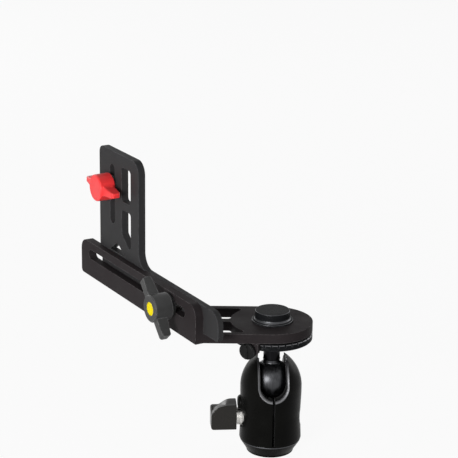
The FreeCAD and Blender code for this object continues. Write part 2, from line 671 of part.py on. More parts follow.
def bracket():
    body = new_body("bracket")
    plan_turn = "180 - arm_skew"
    end = new_sketch(body, "end", height=ARM_Z)
    circle(end, "0", "0", "arm_width/2")
    pad(body, end, "arm_thickness")

    def on_rail(inset, across):
        return f"((rail_distance - {inset} - ({across})*sin(arm_skew))/cos(arm_skew))"

    arm = new_sketch(body, "arm", height=ARM_Z, turn=plan_turn)
    outline(arm, ("0", "-arm_width/2"), (on_rail("-1", "-arm_width/2"), "-arm_width/2"),
            (on_rail("-1", "arm_width/2"), "arm_width/2"), ("0", "arm_width/2"))
    pad(body, arm, "arm_thickness")
    rail = new_sketch(body, "rail", "YZ_Plane", f"-{RAIL_OUTER}")
    back = f"({RAIL_FRONT} + rail_length)"
    box_outline(rail, RAIL_FRONT, ARM_Z, back, RAIL_TOP)
    pad(body, rail, "rail_thickness")
    soften(body, "Fillet", "rail_corner", lambda e: along(e, 0, (RAIL_FRONT, RAIL_TOP), (back, RAIL_TOP)))
    soften(body, "Fillet", "rail_low_corner", lambda e: along(e, 0, (back, ARM_Z)))
    slot = new_sketch(body, "slot", "YZ_Plane", f"-{RAIL_OUTER}")
    half = "rail_slot_width/2"
    slot_outline(slot, f"({RAIL_FRONT} + rail_slot_front + {half})", SLOT_Z,
                 f"({back} - rail_slot_back - {half})", SLOT_Z, half, False)
    cut(body, slot, "rail_thickness", back=True)
    low = "(-arm_width/2 + arm_back_rail)"
    for name in ("back", "front"):
        high = f"({low} + arm_window_width)"
        window = new_sketch(body, f"window_{name}", height=ARM_Z, turn=plan_turn)
        outline(window,
                (f"sqrt(arm_window_start^2 - {low}^2)", low),
                (on_rail("arm_window_stop", low), low), (on_rail("arm_window_stop", high), high),
                (f"sqrt(arm_window_start^2 - {high}^2)", high, "0", "0", -1))
        cut(body, window, "arm_thickness", back=True)
        low = f"({high} + arm_middle_bar)"
    soften(body, "Fillet", "arm_window_corner", in_arm_window)
    bore = new_sketch(body, "bore", height=ARM_Z)
    circle(bore, "0", "0", "pivot_bush_radius")
    cut(body, bore, "arm_thickness", back=True)
    lug = lug_sketch(body, "lug")
    shoulder = f"({ARM_Z} - lug_shoulder)"
    bottom = f"({ARM_Z} - lug_height)"
    outline(lug, ("-lug_left", ARM_Z), ("-lug_left", f"{bottom} + lug_left - lug_low_half"),
            ("-lug_low_half", bottom), ("lug_low_half", bottom), ("lug_right", shoulder), ("lug_right", ARM_Z))
    pad(body, lug, "lug_thickness")
    thread = lug_sketch(body, "lug_thread")
    circle(thread, "0", PAN_LOCK_Z, "pan_lock_radius + running_gap")
    cut(body, thread, "lug_thickness", back=True)
    return body


def in_arm_window(edge):
    """Whether an edge is an upright corner of one of the arm's windows."""
    if edge.Curve.TypeId != "Part::GeomLine" or abs(edge.tangentAt(0).z) < 0.99:
        return False
    spot = edge.CenterOfMass
    lean = value("arm_skew") * math.pi / 180
    across = -spot.x * math.sin(lean) - spot.y * math.cos(lean)
    beyond = math.hypot(spot.x, spot.y) > value("arm_window_start") - 0.01
    return beyond and abs(across) < value("arm_width/2") - 1 and spot.x > -value("rail_distance") + 1


def lug_sketch(body, name):
    """An upright sketch on the lug's inner face, square to the pan lock's axis."""
    sketch = new_sketch(body, name, "YZ_Plane")
    upright = FreeCAD.Rotation(FreeCAD.Vector(0, 1, 0), value("pan_lock_turn"))
    sketch.AttachmentOffset = FreeCAD.Placement(FreeCAD.Vector(), upright)
    bind(sketch, "AttachmentOffset.Rotation.Angle", "pan_lock_turn")
    bind(sketch, "AttachmentOffset.Base.x", f"{LUG_INNER}*sin(pan_lock_turn)")
    bind(sketch, "AttachmentOffset.Base.z", f"{LUG_INNER}*cos(pan_lock_turn)")
    return sketch


# ---------------------------------------------------------------- camera plate

def camera_plate():
    body = new_body("camera_plate")
    face = new_sketch(body, "face", "YZ_Plane", f"-{UPRIGHT_OUTER}")
    foot_top = f"({FOOT_Z} + foot_height)"
    outline(face, ("plate_front", FOOT_Z), (PLATE_BACK, FOOT_Z), (PLATE_BACK, PLATE_TOP),
            (UPRIGHT_FRONT, PLATE_TOP), (UPRIGHT_FRONT, foot_top), ("plate_front", foot_top))
    pad(body, face, "plate_thickness")
    soften(body, "Fillet", "plate_inner_round", lambda e: along(e, 0, (UPRIGHT_FRONT, foot_top)))
    soften(body, "Fillet", "upright_front_round", lambda e: along(e, 0, (UPRIGHT_FRONT, PLATE_TOP)))
    soften(body, "Fillet", "upright_back_round", lambda e: along(e, 0, (PLATE_BACK, PLATE_TOP)))
    soften(body, "Fillet", "foot_front_round", lambda e: along(e, 0, ("plate_front", foot_top)))
    soften(body, "Fillet", "foot_low_round",
           lambda e: along(e, 0, ("plate_front", FOOT_Z), (PLATE_BACK, FOOT_Z)))
    rebate = new_sketch(body, "rebate", "YZ_Plane", f"-{UPRIGHT_OUTER}")
    box_outline(rebate, "plate_front - 1", f"{FOOT_Z} - 1", f"{PLATE_BACK} + 1", LEDGE_Z)
    cut(body, rebate, "plate_rebate", back=True)
    slot = new_sketch(body, "slot", "YZ_Plane", f"-{UPRIGHT_OUTER}")
    half = "camera_slot_width/2"
    slot_outline(slot, CAMERA_Y, f"({FOOT_Z} + camera_slot_low + {half})",
                 CAMERA_Y, f"({FOOT_Z} + camera_slot_high - {half})", half, True)
    cut(body, slot, "plate_thickness", back=True)
    front = f"({UPRIGHT_FRONT} + window_front)"
    rear = f"({front} + window_width)"
    high = new_sketch(body, "window_high", "YZ_Plane", f"-{UPRIGHT_OUTER}")
    high_low = f"({FOOT_Z} + window_high_bottom)"
    high_top = f"({FOOT_Z} + window_high_top)"
    box_outline(high, front, high_low, rear, high_top)
    cut(body, high, "plate_thickness", back=True)
    low = new_sketch(body, "window_low", "YZ_Plane", f"-{UPRIGHT_OUTER}")
    low_front = f"({FOOT_Z} + window_low_front)"
    low_back = f"({FOOT_Z} + window_low_back)"
    low_top = f"({FOOT_Z} + window_low_top)"
    outline(low, (front, low_front), (rear, low_back), (rear, low_top), (front, low_top))
    cut(body, low, "plate_thickness", back=True)
    soften(body, "Fillet", "window_corner",
           lambda e: along(e, 0, (front, high_low), (rear, high_low), (rear, high_top), (front, high_top),
                           (front, low_front), (rear, low_back), (rear, low_top), (front, low_top)))
    gusset = new_sketch(body, "gusset", "YZ_Plane", f"-{UPRIGHT_OUTER}")
    apex_y = f"({PLATE_BACK} - gusset_apex_back)"
    base_z = f"({FOOT_Z} + gusset_base)"
    apex_z = f"({FOOT_Z} + gusset_apex)"
    outline(gusset, (f"{apex_y} - gusset_half", base_z), (f"{apex_y} + gusset_half", base_z), (apex_y, apex_z))
    cut(body, gusset, "plate_thickness", back=True)
    soften(body, "Fillet", "gusset_corner", lambda e: along(e, 0, (apex_y, apex_z)))
    insert = new_sketch(body, "insert", "YZ_Plane", f"-{UPRIGHT_OUTER}")
    circle(insert, "clamp_place", SLOT_Z, "insert_radius")
    cut(body, insert, "plate_thickness", back=True)
    return body


def sideways_ring(name, y, z, outer, inner, start, length):
    """A ring whose axis runs along X, from its place on X."""
    body = new_body(name)
    sketch = new_sketch(body, "ring", "YZ_Plane", start)
    circle(sketch, y, z, outer)
    if inner:
        circle(sketch, y, z, inner)
    pad(body, sketch, length)
    return body


def camera_screw():
    """A captive screw: a thin shank through the plate, and a threaded end for the camera."""
    body = new_body("camera_screw")
    head = f"(-{CAMERA_FACE} - running_gap - screw_in_knob)"
    start = f"(camera_thread_gap - {PLATE_INNER})"
    shank = new_sketch(body, "shank", "YZ_Plane", head)
    circle(shank, CAMERA_Y, CAMERA_Z, "camera_screw_radius")
    pad(body, shank, f"{start} - {head}")
    thread = new_sketch(body, "thread", "YZ_Plane", start)
    circle(thread, CAMERA_Y, CAMERA_Z, "camera_thread_radius")
    pad(body, thread, "camera_thread_length")
    return body


def wing_knob(name, word, y, z, inner_face, screw_radius, cap=False):
    """A two-winged knob. It is drawn about the X axis with its inner face at 0 and its wings upright,
    then turned and moved to its place on the -X side."""
    body = new_body(name)
    length = f"{word}_hub_length"
    hub_radius = f"{word}_hub_radius"
    collar = f"{word}_collar_length"
    hub = new_sketch(body, "hub", "XZ_Plane")
    outline(hub, (f"-{length}", "0"), ("0", "0"), ("0", f"{word}_collar_radius"),
            (f"-{collar}", f"{word}_collar_radius"), (f"-{collar}", hub_radius),
            (f"-{length} + wing_edge", hub_radius, f"-{length} + wing_edge", f"{hub_radius} - wing_edge", 1),
            (f"-{length}", f"{hub_radius} - wing_edge"))
    turn = feature(body, "Revolution", "turn_hub")
    turn.Profile = hub
    turn.ReferenceAxis = (hub, ["H_Axis"])
    turn.Angle = 360
    wings = new_sketch(body, "wings", "XZ_Plane")
    tip = f"{word}_wing_span/2"
    inner_tip, outer_tip = f"-{word}_wing_inner_tip", f"-{word}_wing_outer_tip"
    outline(wings, (outer_tip, f"-{tip}"), (inner_tip, f"-{tip}"), (f"-{word}_wing_inner_root", "0"),
            (inner_tip, tip), (outer_tip, tip), (f"-{word}_wing_outer_root", "0"))
    pad(body, wings, f"{word}_wing_width", "Symmetric")
    soften(body, "Fillet", "wing_root_round", lambda e: is_root(e, hub_radius))
    tips = [(x, height) for x in (inner_tip, outer_tip) for height in (tip, f"-{tip}")]
    soften(body, "Fillet", "wing_tip_round", lambda e: along(e, 1, *tips))
    side = value(f"{word}_wing_width/2")
    soften(body, "Fillet", "wing_edge", lambda e: on_wing_side(e, side, value(hub_radius)))
    hole = new_sketch(body, "hole", "YZ_Plane")
    circle(hole, "0", "0", screw_radius)
    cut(body, hole, "screw_in_knob")
    if cap:
        recess = new_sketch(body, "recess", "YZ_Plane", f"-{length}")
        circle(recess, "0", "0", "cap_radius")
        cut(body, recess, "cap_depth", back=True)
    body.Placement = FreeCAD.Placement(FreeCAD.Vector(), FreeCAD.Rotation(FreeCAD.Vector(1, 0, 0), -45))
    bind(body, "Placement.Rotation.Angle", f"-{word}_wing_angle")
    bind(body, "Placement.Base.x", f"-{inner_face}")
    bind(body, "Placement.Base.y", y)
    bind(body, "Placement.Base.z", z)
    return body


def is_root(edge, hub_radius):
    """Whether an edge is where a wing's side runs into the hub."""
    if edge.Curve.TypeId != "Part::GeomLine" or abs(edge.tangentAt(0).x) < 0.999:
        return False
    spot = edge.CenterOfMass
    return abs(math.hypot(spot.y, spot.z) - value(hub_radius)) < 1e-3


def on_wing_side(edge, side, hub_radius):
    """Whether an edge bounds a wing's side, outside the hub."""
    spot = edge.CenterOfMass
    flat = all(abs(abs(vertex.Point.y) - side) < 1e-4 for vertex in edge.Vertexes)
    return flat and abs(abs(spot.y) - side) < 1e-4 and abs(spot.z) > hub_radius


CLAMP_FACE = f"({RAIL_OUTER} + running_gap + clamp_washer_thickness)"
CAMERA_FACE = f"({UPRIGHT_OUTER} + running_gap + camera_washer_thickness)"
clamp_axis = ("clamp_place", SLOT_Z)
camera_axis = (CAMERA_Y, CAMERA_Z)

pieces = [
    base_plate(),
    base_bush(),
    base_screws(),
    housing(),
    ball_seat(),
    ball(),
    rod("platform_stud", "stud_radius", f"{HUB_Z} - stud_below", f"{HUB_Z} + stud_above"),
    lock_screw(),
    lock_washer(),
    lock_knob(),
    index_disc(),
    ring("friction_washer", "pivot_radius + running_gap", "friction_radius", DISC_TOP, f"{ARM_Z} - running_gap"),
    rod("pivot_bolt", "pivot_radius", f"{DISC_TOP} - pivot_hold",
        f"{ARM_TOP} + running_gap + top_washer_thickness + top_knob_height - top_knob_skin - 0.2"),
    ring("pivot_bush", "pivot_radius + running_gap", "pivot_bush_radius", ARM_Z, ARM_TOP),
    ring("top_washer", "pivot_radius + running_gap", "top_washer_radius",
         f"{ARM_TOP} + running_gap", f"{ARM_TOP} + running_gap + top_washer_thickness"),
    top_knob(),
    pan_lock_screw(),
    pan_lock_knob(),
    bracket(),
    camera_plate(),
    sideways_ring("clamp_insert", *clamp_axis, "insert_radius", "clamp_screw_radius + running_gap",
                  f"-{PLATE_FACE}", "plate_thickness - plate_rebate"),
    sideways_ring("clamp_screw", *clamp_axis, "clamp_screw_radius", None,
                  f"-{CLAMP_FACE} - screw_in_knob", f"{CLAMP_FACE} + screw_in_knob - {PLATE_INNER} - 0.3"),
    sideways_ring("clamp_washer", *clamp_axis, "clamp_washer_radius", "clamp_screw_radius",
                  f"-{CLAMP_FACE}", "clamp_washer_thickness"),
    wing_knob("clamp_knob", "clamp", *clamp_axis, CLAMP_FACE, "clamp_screw_radius", cap=True),
    sideways_ring("clamp_cap", *clamp_axis, "cap_radius", None,
                  f"-{CLAMP_FACE} - clamp_hub_length + 0.2", "cap_depth - 0.2"),
    sideways_ring("camera_washer", *camera_axis, "camera_washer_radius", "camera_screw_radius + running_gap",
                  f"-{CAMERA_FACE}", "camera_washer_thickness"),
    camera_screw(),
    wing_knob("camera_knob", "camera", *camera_axis, f"({CAMERA_FACE} + running_gap)", "camera_screw_radius"),
]

doc.recompute()
for item in doc.Objects:
    if "Invalid" in item.State or "Error" in item.State:
        raise ValueError(f"{item.Name} failed: {item.State}")
for piece in pieces:
    if piece.Shape.isNull() or not piece.Shape.isValid():
        raise ValueError(f"{piece.Label} has no valid shape")

os.makedirs("parts", exist_ok=True)
for piece in pieces:
    piece.Shape.exportStep(f"parts/{piece.Label}.step")
    print(piece.Label, len(piece.Shape.Solids), round(piece.Shape.Volume, 1))
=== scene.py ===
import json
from math import asin, atan2, cos, degrees, hypot, pi, radians, sin, sqrt, tan

import bmesh
import bpy
from mathutils import Matrix, Vector


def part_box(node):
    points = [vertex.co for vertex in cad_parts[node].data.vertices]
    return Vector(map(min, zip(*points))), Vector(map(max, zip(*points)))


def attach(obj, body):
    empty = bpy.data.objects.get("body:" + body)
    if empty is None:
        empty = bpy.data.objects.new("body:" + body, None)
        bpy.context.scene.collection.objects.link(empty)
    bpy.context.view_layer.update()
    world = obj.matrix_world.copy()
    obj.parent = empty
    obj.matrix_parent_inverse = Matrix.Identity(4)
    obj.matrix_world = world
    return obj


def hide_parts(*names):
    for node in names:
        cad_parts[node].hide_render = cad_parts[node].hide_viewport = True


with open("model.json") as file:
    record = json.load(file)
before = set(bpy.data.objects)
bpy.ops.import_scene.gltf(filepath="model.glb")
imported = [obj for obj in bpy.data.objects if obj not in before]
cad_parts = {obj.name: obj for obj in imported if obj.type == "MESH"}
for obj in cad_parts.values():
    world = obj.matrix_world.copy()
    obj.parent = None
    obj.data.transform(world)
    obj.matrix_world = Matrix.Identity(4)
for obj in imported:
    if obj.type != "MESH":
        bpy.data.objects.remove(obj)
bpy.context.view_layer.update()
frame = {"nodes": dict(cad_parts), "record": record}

# Panoramic tripod head. Sizes are in millimetres here and metres in Blender; +Z is up, the lens looks
# along -Y and the rail stands on the -X side.
MM = 0.001
SAME = 1e-6   # sizes nearer than this are the same
MERGE, CAD_MERGE = 1e-4, 2e-3   # points nearer than this become one, in own and CAD meshes
BODIES = frame["record"]["behaviour"]["bodies"]
BODY_OF = {node: body for body, members in BODIES.items() for node in members}

# ------------ turns about the Z axis

HEAD_TURN = radians(-25.5)      # the ball head's notch, from -Y
HEAD_PLACE = Matrix.Rotation(HEAD_TURN, 4, "Z")
PAN_LOCK_TURN = radians(207.5)  # the pan lock's axis, from +X


# ------------ mesh tools

def low_mm(node):
    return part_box(node)[0] / MM


def high_mm(node):
    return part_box(node)[1] / MM


def middle_mm(node):
    return (low_mm(node) + high_mm(node)) / 2


def new_object(name, data):
    """An object in the scene."""
    made = bpy.data.objects.new(name, data)
    bpy.context.scene.collection.objects.link(made)
    return made


def make_object(name, bm, material, recalc=True):
    """A finished object from a bmesh in millimetres."""
    bmesh.ops.remove_doubles(bm, verts=bm.verts, dist=MERGE)
    if recalc:
        bmesh.ops.recalc_face_normals(bm, faces=bm.faces)
    bmesh.ops.scale(bm, vec=(MM, MM, MM), verts=bm.verts)
    mesh = bpy.data.meshes.new(name)
    bm.to_mesh(mesh)
    bm.free()
    mesh.materials.append(material)
    return new_object(name, mesh)


def bake(piece):
    """Turn the piece's modifiers into plain mesh."""
    bpy.context.view_layer.update()
    depsgraph = bpy.context.evaluated_depsgraph_get()
    mesh = bpy.data.meshes.new_from_object(piece.evaluated_get(depsgraph))
    piece.modifiers.clear()
    piece.data = mesh
    return piece


def set_all(target, settings):
    """Give an object, node or modifier its settings."""
    for label, value in settings.items():
        setattr(target, label, value)
    return target


def modify(piece, kind, **settings):
    """Run one modifier over a piece."""
    set_all(piece.modifiers.new(kind.lower(), kind), settings)
    return bake(piece)


def soften(piece, width, segments=3, angle=30, crisp=False):
    """Round the sharp edges by a width in millimetres. A crisp piece keeps its flat faces flat."""
    return modify(piece, "BEVEL", width=width * MM, segments=segments, limit_method="ANGLE",
                  angle_limit=radians(angle), harden_normals=crisp)


def smooth(piece, angle=35):
    """Shade smooth, and keep creases over the angle sharp."""
    mesh = piece.data
    mesh.shade_smooth()
    bm = bmesh.new()
    bm.from_mesh(mesh)
    limit = radians(angle)
    for edge in bm.edges:
        edge.smooth = not (edge.is_manifold and edge.calc_face_angle(0.0) > limit)
    bm.to_mesh(mesh)
    bm.free()
    return piece


def finish_piece(piece, node):
    """The piece stands for a CAD node and rides with its body."""
    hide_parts(node)
    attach(piece, BODY_OF[node])
    return piece


def mark_faces(piece, material, chosen):
    """Give some of the piece's faces a second finish. chosen takes a face's distance from the Z axis,
    its height and how far it faces up."""
    piece.data.materials.append(material)
    for face in piece.data.polygons:
        x, y, z = face.center / MM
        if chosen(hypot(x, y), z, face.normal.z):
            face.material_index = 1
    return piece


def cad_copy(node, name, material, flat=True):
    """A merged copy of a CAD node's mesh, its flat faces joined."""
    bm = bmesh.new()
    bm.from_mesh(frame["nodes"][node].data)
    bmesh.ops.scale(bm, vec=(1 / MM,) * 3, verts=bm.verts)
    bmesh.ops.remove_doubles(bm, verts=bm.verts, dist=CAD_MERGE)
    if flat:
        bmesh.ops.dissolve_limit(bm, angle_limit=radians(0.6), verts=bm.verts, edges=bm.edges)
    return make_object(name, bm, material, recalc=False)


def arc(cx, cy, radius, start, stop, count=8):
    """Points of an arc from one angle to another, in degrees."""
    angles = [radians(start + (stop - start) * i / count) for i in range(count + 1)]
    return [(cx + radius * cos(a), cy + radius * sin(a)) for a in angles]


def bridge(bm, low, high):
    """Faces between two closed rings of as many points."""
    for i in range(len(low)):
        j = (i + 1) % len(low)
        bm.faces.new((low[i], low[j], high[j], high[i]))


def skin(bm, rings):
    """Faces between neighbouring closed rings of points, and over both ends."""
    for low, high in zip(rings, rings[1:]):
        bridge(bm, low, high)
    bm.faces.new(rings[0])
    bm.faces.new(rings[-1][::-1])


def circle(bm, radius, height, around):
    """A ring of points about Z. The radius is a number, or a function of the share of a turn."""
    ring = []
    for i in range(around):
        a, r = 2 * pi * i / around, radius(i / around) if callable(radius) else radius
        ring.append(bm.verts.new((r * cos(a), r * sin(a), height)))
    return ring


def turned(name, material, profile, place=Matrix.Identity(4), around=96):
    """A piece turned on a lathe: the closed profile holds (radius, height) points."""
    bm = bmesh.new()
    rings = []
    for radius, height in profile:
        pole = radius < SAME
        rings.append([bm.verts.new((0, 0, height))] if pole else circle(bm, radius, height, around))
    for index, ring in enumerate(rings):
        other = rings[(index + 1) % len(rings)]
        if len(ring) == 1 and len(other) == 1:
            continue
        for i in range(around):
            j = (i + 1) % around
            corners = (ring[i % len(ring)], other[i % len(other)], other[j % len(other)], ring[j % len(ring)])
            bm.faces.new(list(dict.fromkeys(corners)))   # a pole is one corner
    bmesh.ops.transform(bm, matrix=place, verts=bm.verts)
    return make_object(name, bm, material)


def axis_place(origin, direction):
    """A frame whose Z axis runs along a direction from an origin."""
    return Matrix.Translation(origin) @ Vector(direction).to_track_quat("Z", "Y").to_matrix().to_4x4()


def join_pieces(piece, other, operation="UNION", solver="MANIFOLD"):
    """Melt another piece into this one, or cut it away."""
    modify(piece, "BOOLEAN", operation=operation, solver=solver, object=other)
    bpy.data.objects.remove(other)
    return piece


def join_shape(piece, operation, profile, place):
    """Add a round shape to a piece, or cut it away. The profile turns about the place's Z axis."""
    tool = turned("tool", piece.data.materials[0], profile, place, around=72)
    join_pieces(piece, tool, operation, "EXACT")


def outline_points(corners, steps=6):
    """A closed outline whose corners, given as (x, y, radius), are rounded."""
    spots = []
    for index, (x, y, radius) in enumerate(corners):
        here = Vector((x, y))
        before = Vector(corners[index - 1][:2]) - here
        after = Vector(corners[(index + 1) % len(corners)][:2]) - here
        half = before.angle(after) / 2
        reach = min(radius / tan(half), before.length * 0.49, after.length * 0.49)
        start = here + before.normalized() * reach
        end = here + after.normalized() * reach
        for i in range(steps + 1):
            t = i / steps
            spots.append((1 - t) ** 2 * start + 2 * t * (1 - t) * here + t * t * end)
    return spots


def plate_of(name, material, thickness, corners):
    """A flat plate in the XZ plane, centred on it, with a rounded outline."""
    bm = bmesh.new()
    points = outline_points(corners)
    skin(bm, [[bm.verts.new((p.x, side * thickness / 2, p.y)) for p in points] for side in (-1, 1)])
    return make_object(name, bm, material)


def disc_profile(radius, start, stop):
    return [(0, start), (radius, start), (radius, stop), (0, stop)]


THREAD_STEPS, THREAD_RUNOUT = 10, 0.6   # rings of points in a pitch, and pitches until the full depth


def threaded(name, material, radius, depth, pitch, start, stop, place, around=64):
    """A threaded rod along the place's Z axis: the wall follows a helix of one pitch."""
    bm = bmesh.new()
    rows, runout = int((stop - start) / pitch * THREAD_STEPS), THREAD_RUNOUT * pitch
    rings = []
    for k in range(rows + 1):
        z = start + (stop - start) * k / rows
        share = max(min(1.0, (z - start) / runout, (stop - z) / runout), 0)
        rings.append(circle(bm, lambda turn: radius - depth * (
            1 - share * abs(2 * ((z / pitch + turn) % 1.0) - 1)), z, around))
    skin(bm, rings)
    bmesh.ops.transform(bm, matrix=place, verts=bm.verts)
    return make_object(name, bm, material)


# ------------ shader groups

def new_group(name, inputs, outputs, kind="ShaderNodeTree"):
    """A node group and its two end nodes. Its inputs are named with a kind and a default, if any, and
    its outputs with a kind."""
    group = bpy.data.node_groups.new(name, kind)
    for way, rows in (("INPUT", inputs), ("OUTPUT", outputs)):
        for label, sort, *default in rows:
            socket = group.interface.new_socket(name=label, in_out=way, socket_type="NodeSocket" + sort)
            if default:
                socket.default_value = default[0]
    return group, group.nodes.new("NodeGroupInput"), group.nodes.new("NodeGroupOutput")


def set_inputs(node, values):
    for label, value in values.items():
        node.inputs[label].default_value = value


def add_node(tree, kind, inputs=None, **settings):
    """A new node with its settings and the constants of its inputs."""
    node = set_all(tree.nodes.new(kind), settings)
    set_inputs(node, inputs or {})
    return node


def wire(tree, *wires):
    """Join sockets: each wire names a node, its output, another node and its input."""
    for source, output, target, socket in wires:
        tree.links.new(source.outputs[output], target.inputs[socket])


def make_grain_group():
    """Fine surface grain: a height for a bump and a cloud for roughness."""
    group, inside, out = new_group(
        "fine_grain",
        [("Grain Scale", "Float", 2000.0), ("Cloud Scale", "Float", 60.0)],
        [("Height", "Float"), ("Cloud", "Float")])
    coords = add_node(group, "ShaderNodeTexCoord")
    grain = add_node(group, "ShaderNodeTexNoise", {"Detail": 3.0})
    cloud = add_node(group, "ShaderNodeTexNoise", {"Detail": 4.0, "Roughness": 0.6})
    wire(group, (coords, "Object", grain, "Vector"), (coords, "Object", cloud, "Vector"),
         (inside, "Grain Scale", grain, "Scale"), (inside, "Cloud Scale", cloud, "Scale"),
         (grain, "Fac", out, "Height"), (cloud, "Fac", out, "Cloud"))
    return group


# The edge mask is partly wear and partly a painted highlight along rounded edges; the noise levels below
# break both up.
WEAR_AND_HIGHLIGHT_NONE, WEAR_AND_HIGHLIGHT_FULL = 0.995, 0.86    # cosine between an edge's rounded normal and its flat one
PATCH_LOW, PATCH_HIGH = 0.34, 0.54    # levels of the noise that breaks the wear up


def make_wear_and_highlight_group():
    """A mask of the edges, partly worn bare by hands and bags and partly a painted highlight along the
    rounded edges, broken up by noise.
    """
    group, inside, out = new_group(
        "edge_wear_and_painted_highlight",
        [("Width", "Float", 0.0006), ("Amount", "Float", 0.5), ("Breakup", "Float", 400.0)],
        [("Mask", "Float")])
    geometry = add_node(group, "ShaderNodeNewGeometry")
    edge = add_node(group, "ShaderNodeBevel", samples=6)
    dot = add_node(group, "ShaderNodeVectorMath", operation="DOT_PRODUCT")
    rim = add_node(group, "ShaderNodeMapRange", {"From Min": WEAR_AND_HIGHLIGHT_NONE, "From Max": WEAR_AND_HIGHLIGHT_FULL})
    coords = add_node(group, "ShaderNodeTexCoord")
    noise = add_node(group, "ShaderNodeTexNoise", {"Detail": 4.0})
    patches = add_node(group, "ShaderNodeMapRange", {"From Min": PATCH_LOW, "From Max": PATCH_HIGH})
    both = add_node(group, "ShaderNodeMath", operation="MULTIPLY")
    share = add_node(group, "ShaderNodeMath", operation="MULTIPLY")
    wire(group, (inside, "Width", edge, "Radius"), (geometry, "Normal", dot, 0),
         (edge, "Normal", dot, 1), (dot, "Value", rim, "Value"), (coords, "Object", noise, "Vector"),
         (inside, "Breakup", noise, "Scale"), (noise, "Fac", patches, "Value"),
         (rim, "Result", both, 0), (patches, "Result", both, 1), (both, "Value", share, 0),
         (inside, "Amount", share, 1), (share, "Value", out, "Mask"))
    return group


def make_brush_group():
    """Long fine lines: noise stretched along one axis of the piece."""
    group, inside, out = new_group(
        "brush_lines",
        [("Vector", "Vector"), ("Across", "Float", 1500.0)],
        [("Lines", "Float")])
    noise = add_node(group, "ShaderNodeTexNoise", {"Detail": 2.0})
    wire(group, (inside, "Vector", noise, "Vector"), (inside, "Across", noise, "Scale"),
         (noise, "Fac", out, "Lines"))
    return group


GRAIN = make_grain_group()
WEAR_AND_HIGHLIGHT = make_wear_and_highlight_group()
BRUSH = make_brush_group()
CLOUD_LOW, CLOUD_HIGH = 0.3, 0.7               # levels of the clouds
CLOUD_ROUGHNESS, LINE_ROUGHNESS = 0.12, 0.1    # what clouds and brushed lines add


def new_material(name):
    """A material with nodes: the material, its tree and its surface shader."""
    material = bpy.data.materials.new(name)
    material.use_nodes = True
    return material, material.node_tree, material.node_tree.nodes["Principled BSDF"]


def shades_of(tree, colour, spread):
    """A mix that runs from a darker to a lighter shade of one colour."""
    dark, light = (tuple(min(1, c * (1 + change)) for c in colour) + (1,) for change in (-spread, spread))
    return add_node(tree, "ShaderNodeMix", {"A": dark, "B": light}, data_type="RGBA")


def coated(name, colour, worn_and_highlight_colour, roughness, grain_scale, grain_depth, wear_and_highlight_amount=0.5,
           cloud_scale=60.0, colour_spread=0.25, wear_and_highlight_width=0.0005, specular=0.5, sheen=0.0):
    """A coated or moulded finish: grain in a bump, clouded tone and roughness, and edges lightened partly
    where worn and partly as a painted highlight.
    """
    material, tree, surface = new_material(name)
    set_inputs(surface, {"Specular IOR Level": specular, "Sheen Weight": sheen, "Sheen Roughness": 0.35})
    grain = add_node(tree, "ShaderNodeGroup", {"Grain Scale": grain_scale, "Cloud Scale": cloud_scale},
                     node_tree=GRAIN)
    wear_and_highlight_node = add_node(tree, "ShaderNodeGroup", {"Width": wear_and_highlight_width, "Amount": wear_and_highlight_amount}, node_tree=WEAR_AND_HIGHLIGHT)
    tone = shades_of(tree, colour, colour_spread)
    # The edge colour mixed in here is partly wear and partly a painted highlight along the edges.
    worn_and_lit = add_node(tree, "ShaderNodeMix", {"B": worn_and_highlight_colour + (1,)}, data_type="RGBA")
    rough = add_node(tree, "ShaderNodeMapRange", {
        "From Min": CLOUD_LOW, "From Max": CLOUD_HIGH,
        "To Min": roughness - CLOUD_ROUGHNESS, "To Max": roughness + CLOUD_ROUGHNESS})
    bump = add_node(tree, "ShaderNodeBump", {"Strength": 0.6, "Distance": grain_depth * MM})
    wire(tree, (grain, "Cloud", tone, "Factor"), (tone, "Result", worn_and_lit, "A"),
         (wear_and_highlight_node, "Mask", worn_and_lit, "Factor"), (worn_and_lit, "Result", surface, "Base Color"),
         (grain, "Cloud", rough, "Value"), (rough, "Result", surface, "Roughness"),
         (grain, "Height", bump, "Height"), (bump, "Normal", surface, "Normal"))
    return material


def brushed(name, colour, roughness, across, depth, stretch, spread=0.15):
    """A turned or brushed metal: fine lines in tone, roughness and bump. Stretch sets how the lines
    lie on the piece's own axes."""
    material, tree, surface = new_material(name)
    set_inputs(surface, {"Metallic": 1.0})
    coords = add_node(tree, "ShaderNodeTexCoord")
    lie = add_node(tree, "ShaderNodeMapping", {"Scale": stretch})
    lines = add_node(tree, "ShaderNodeGroup", {"Across": across}, node_tree=BRUSH)
    tone = shades_of(tree, colour, spread)
    rough = add_node(tree, "ShaderNodeMapRange", {
        "To Min": roughness - LINE_ROUGHNESS, "To Max": roughness + LINE_ROUGHNESS})
    bump = add_node(tree, "ShaderNodeBump", {"Strength": 0.5, "Distance": depth * MM})
    wire(tree, (coords, "Object", lie, "Vector"), (lie, "Vector", lines, "Vector"),
         (lines, "Lines", tone, "Factor"), (tone, "Result", surface, "Base Color"),
         (lines, "Lines", rough, "Value"), (rough, "Result", surface, "Roughness"),
         (lines, "Lines", bump, "Height"), (bump, "Normal", surface, "Normal"))
    return material


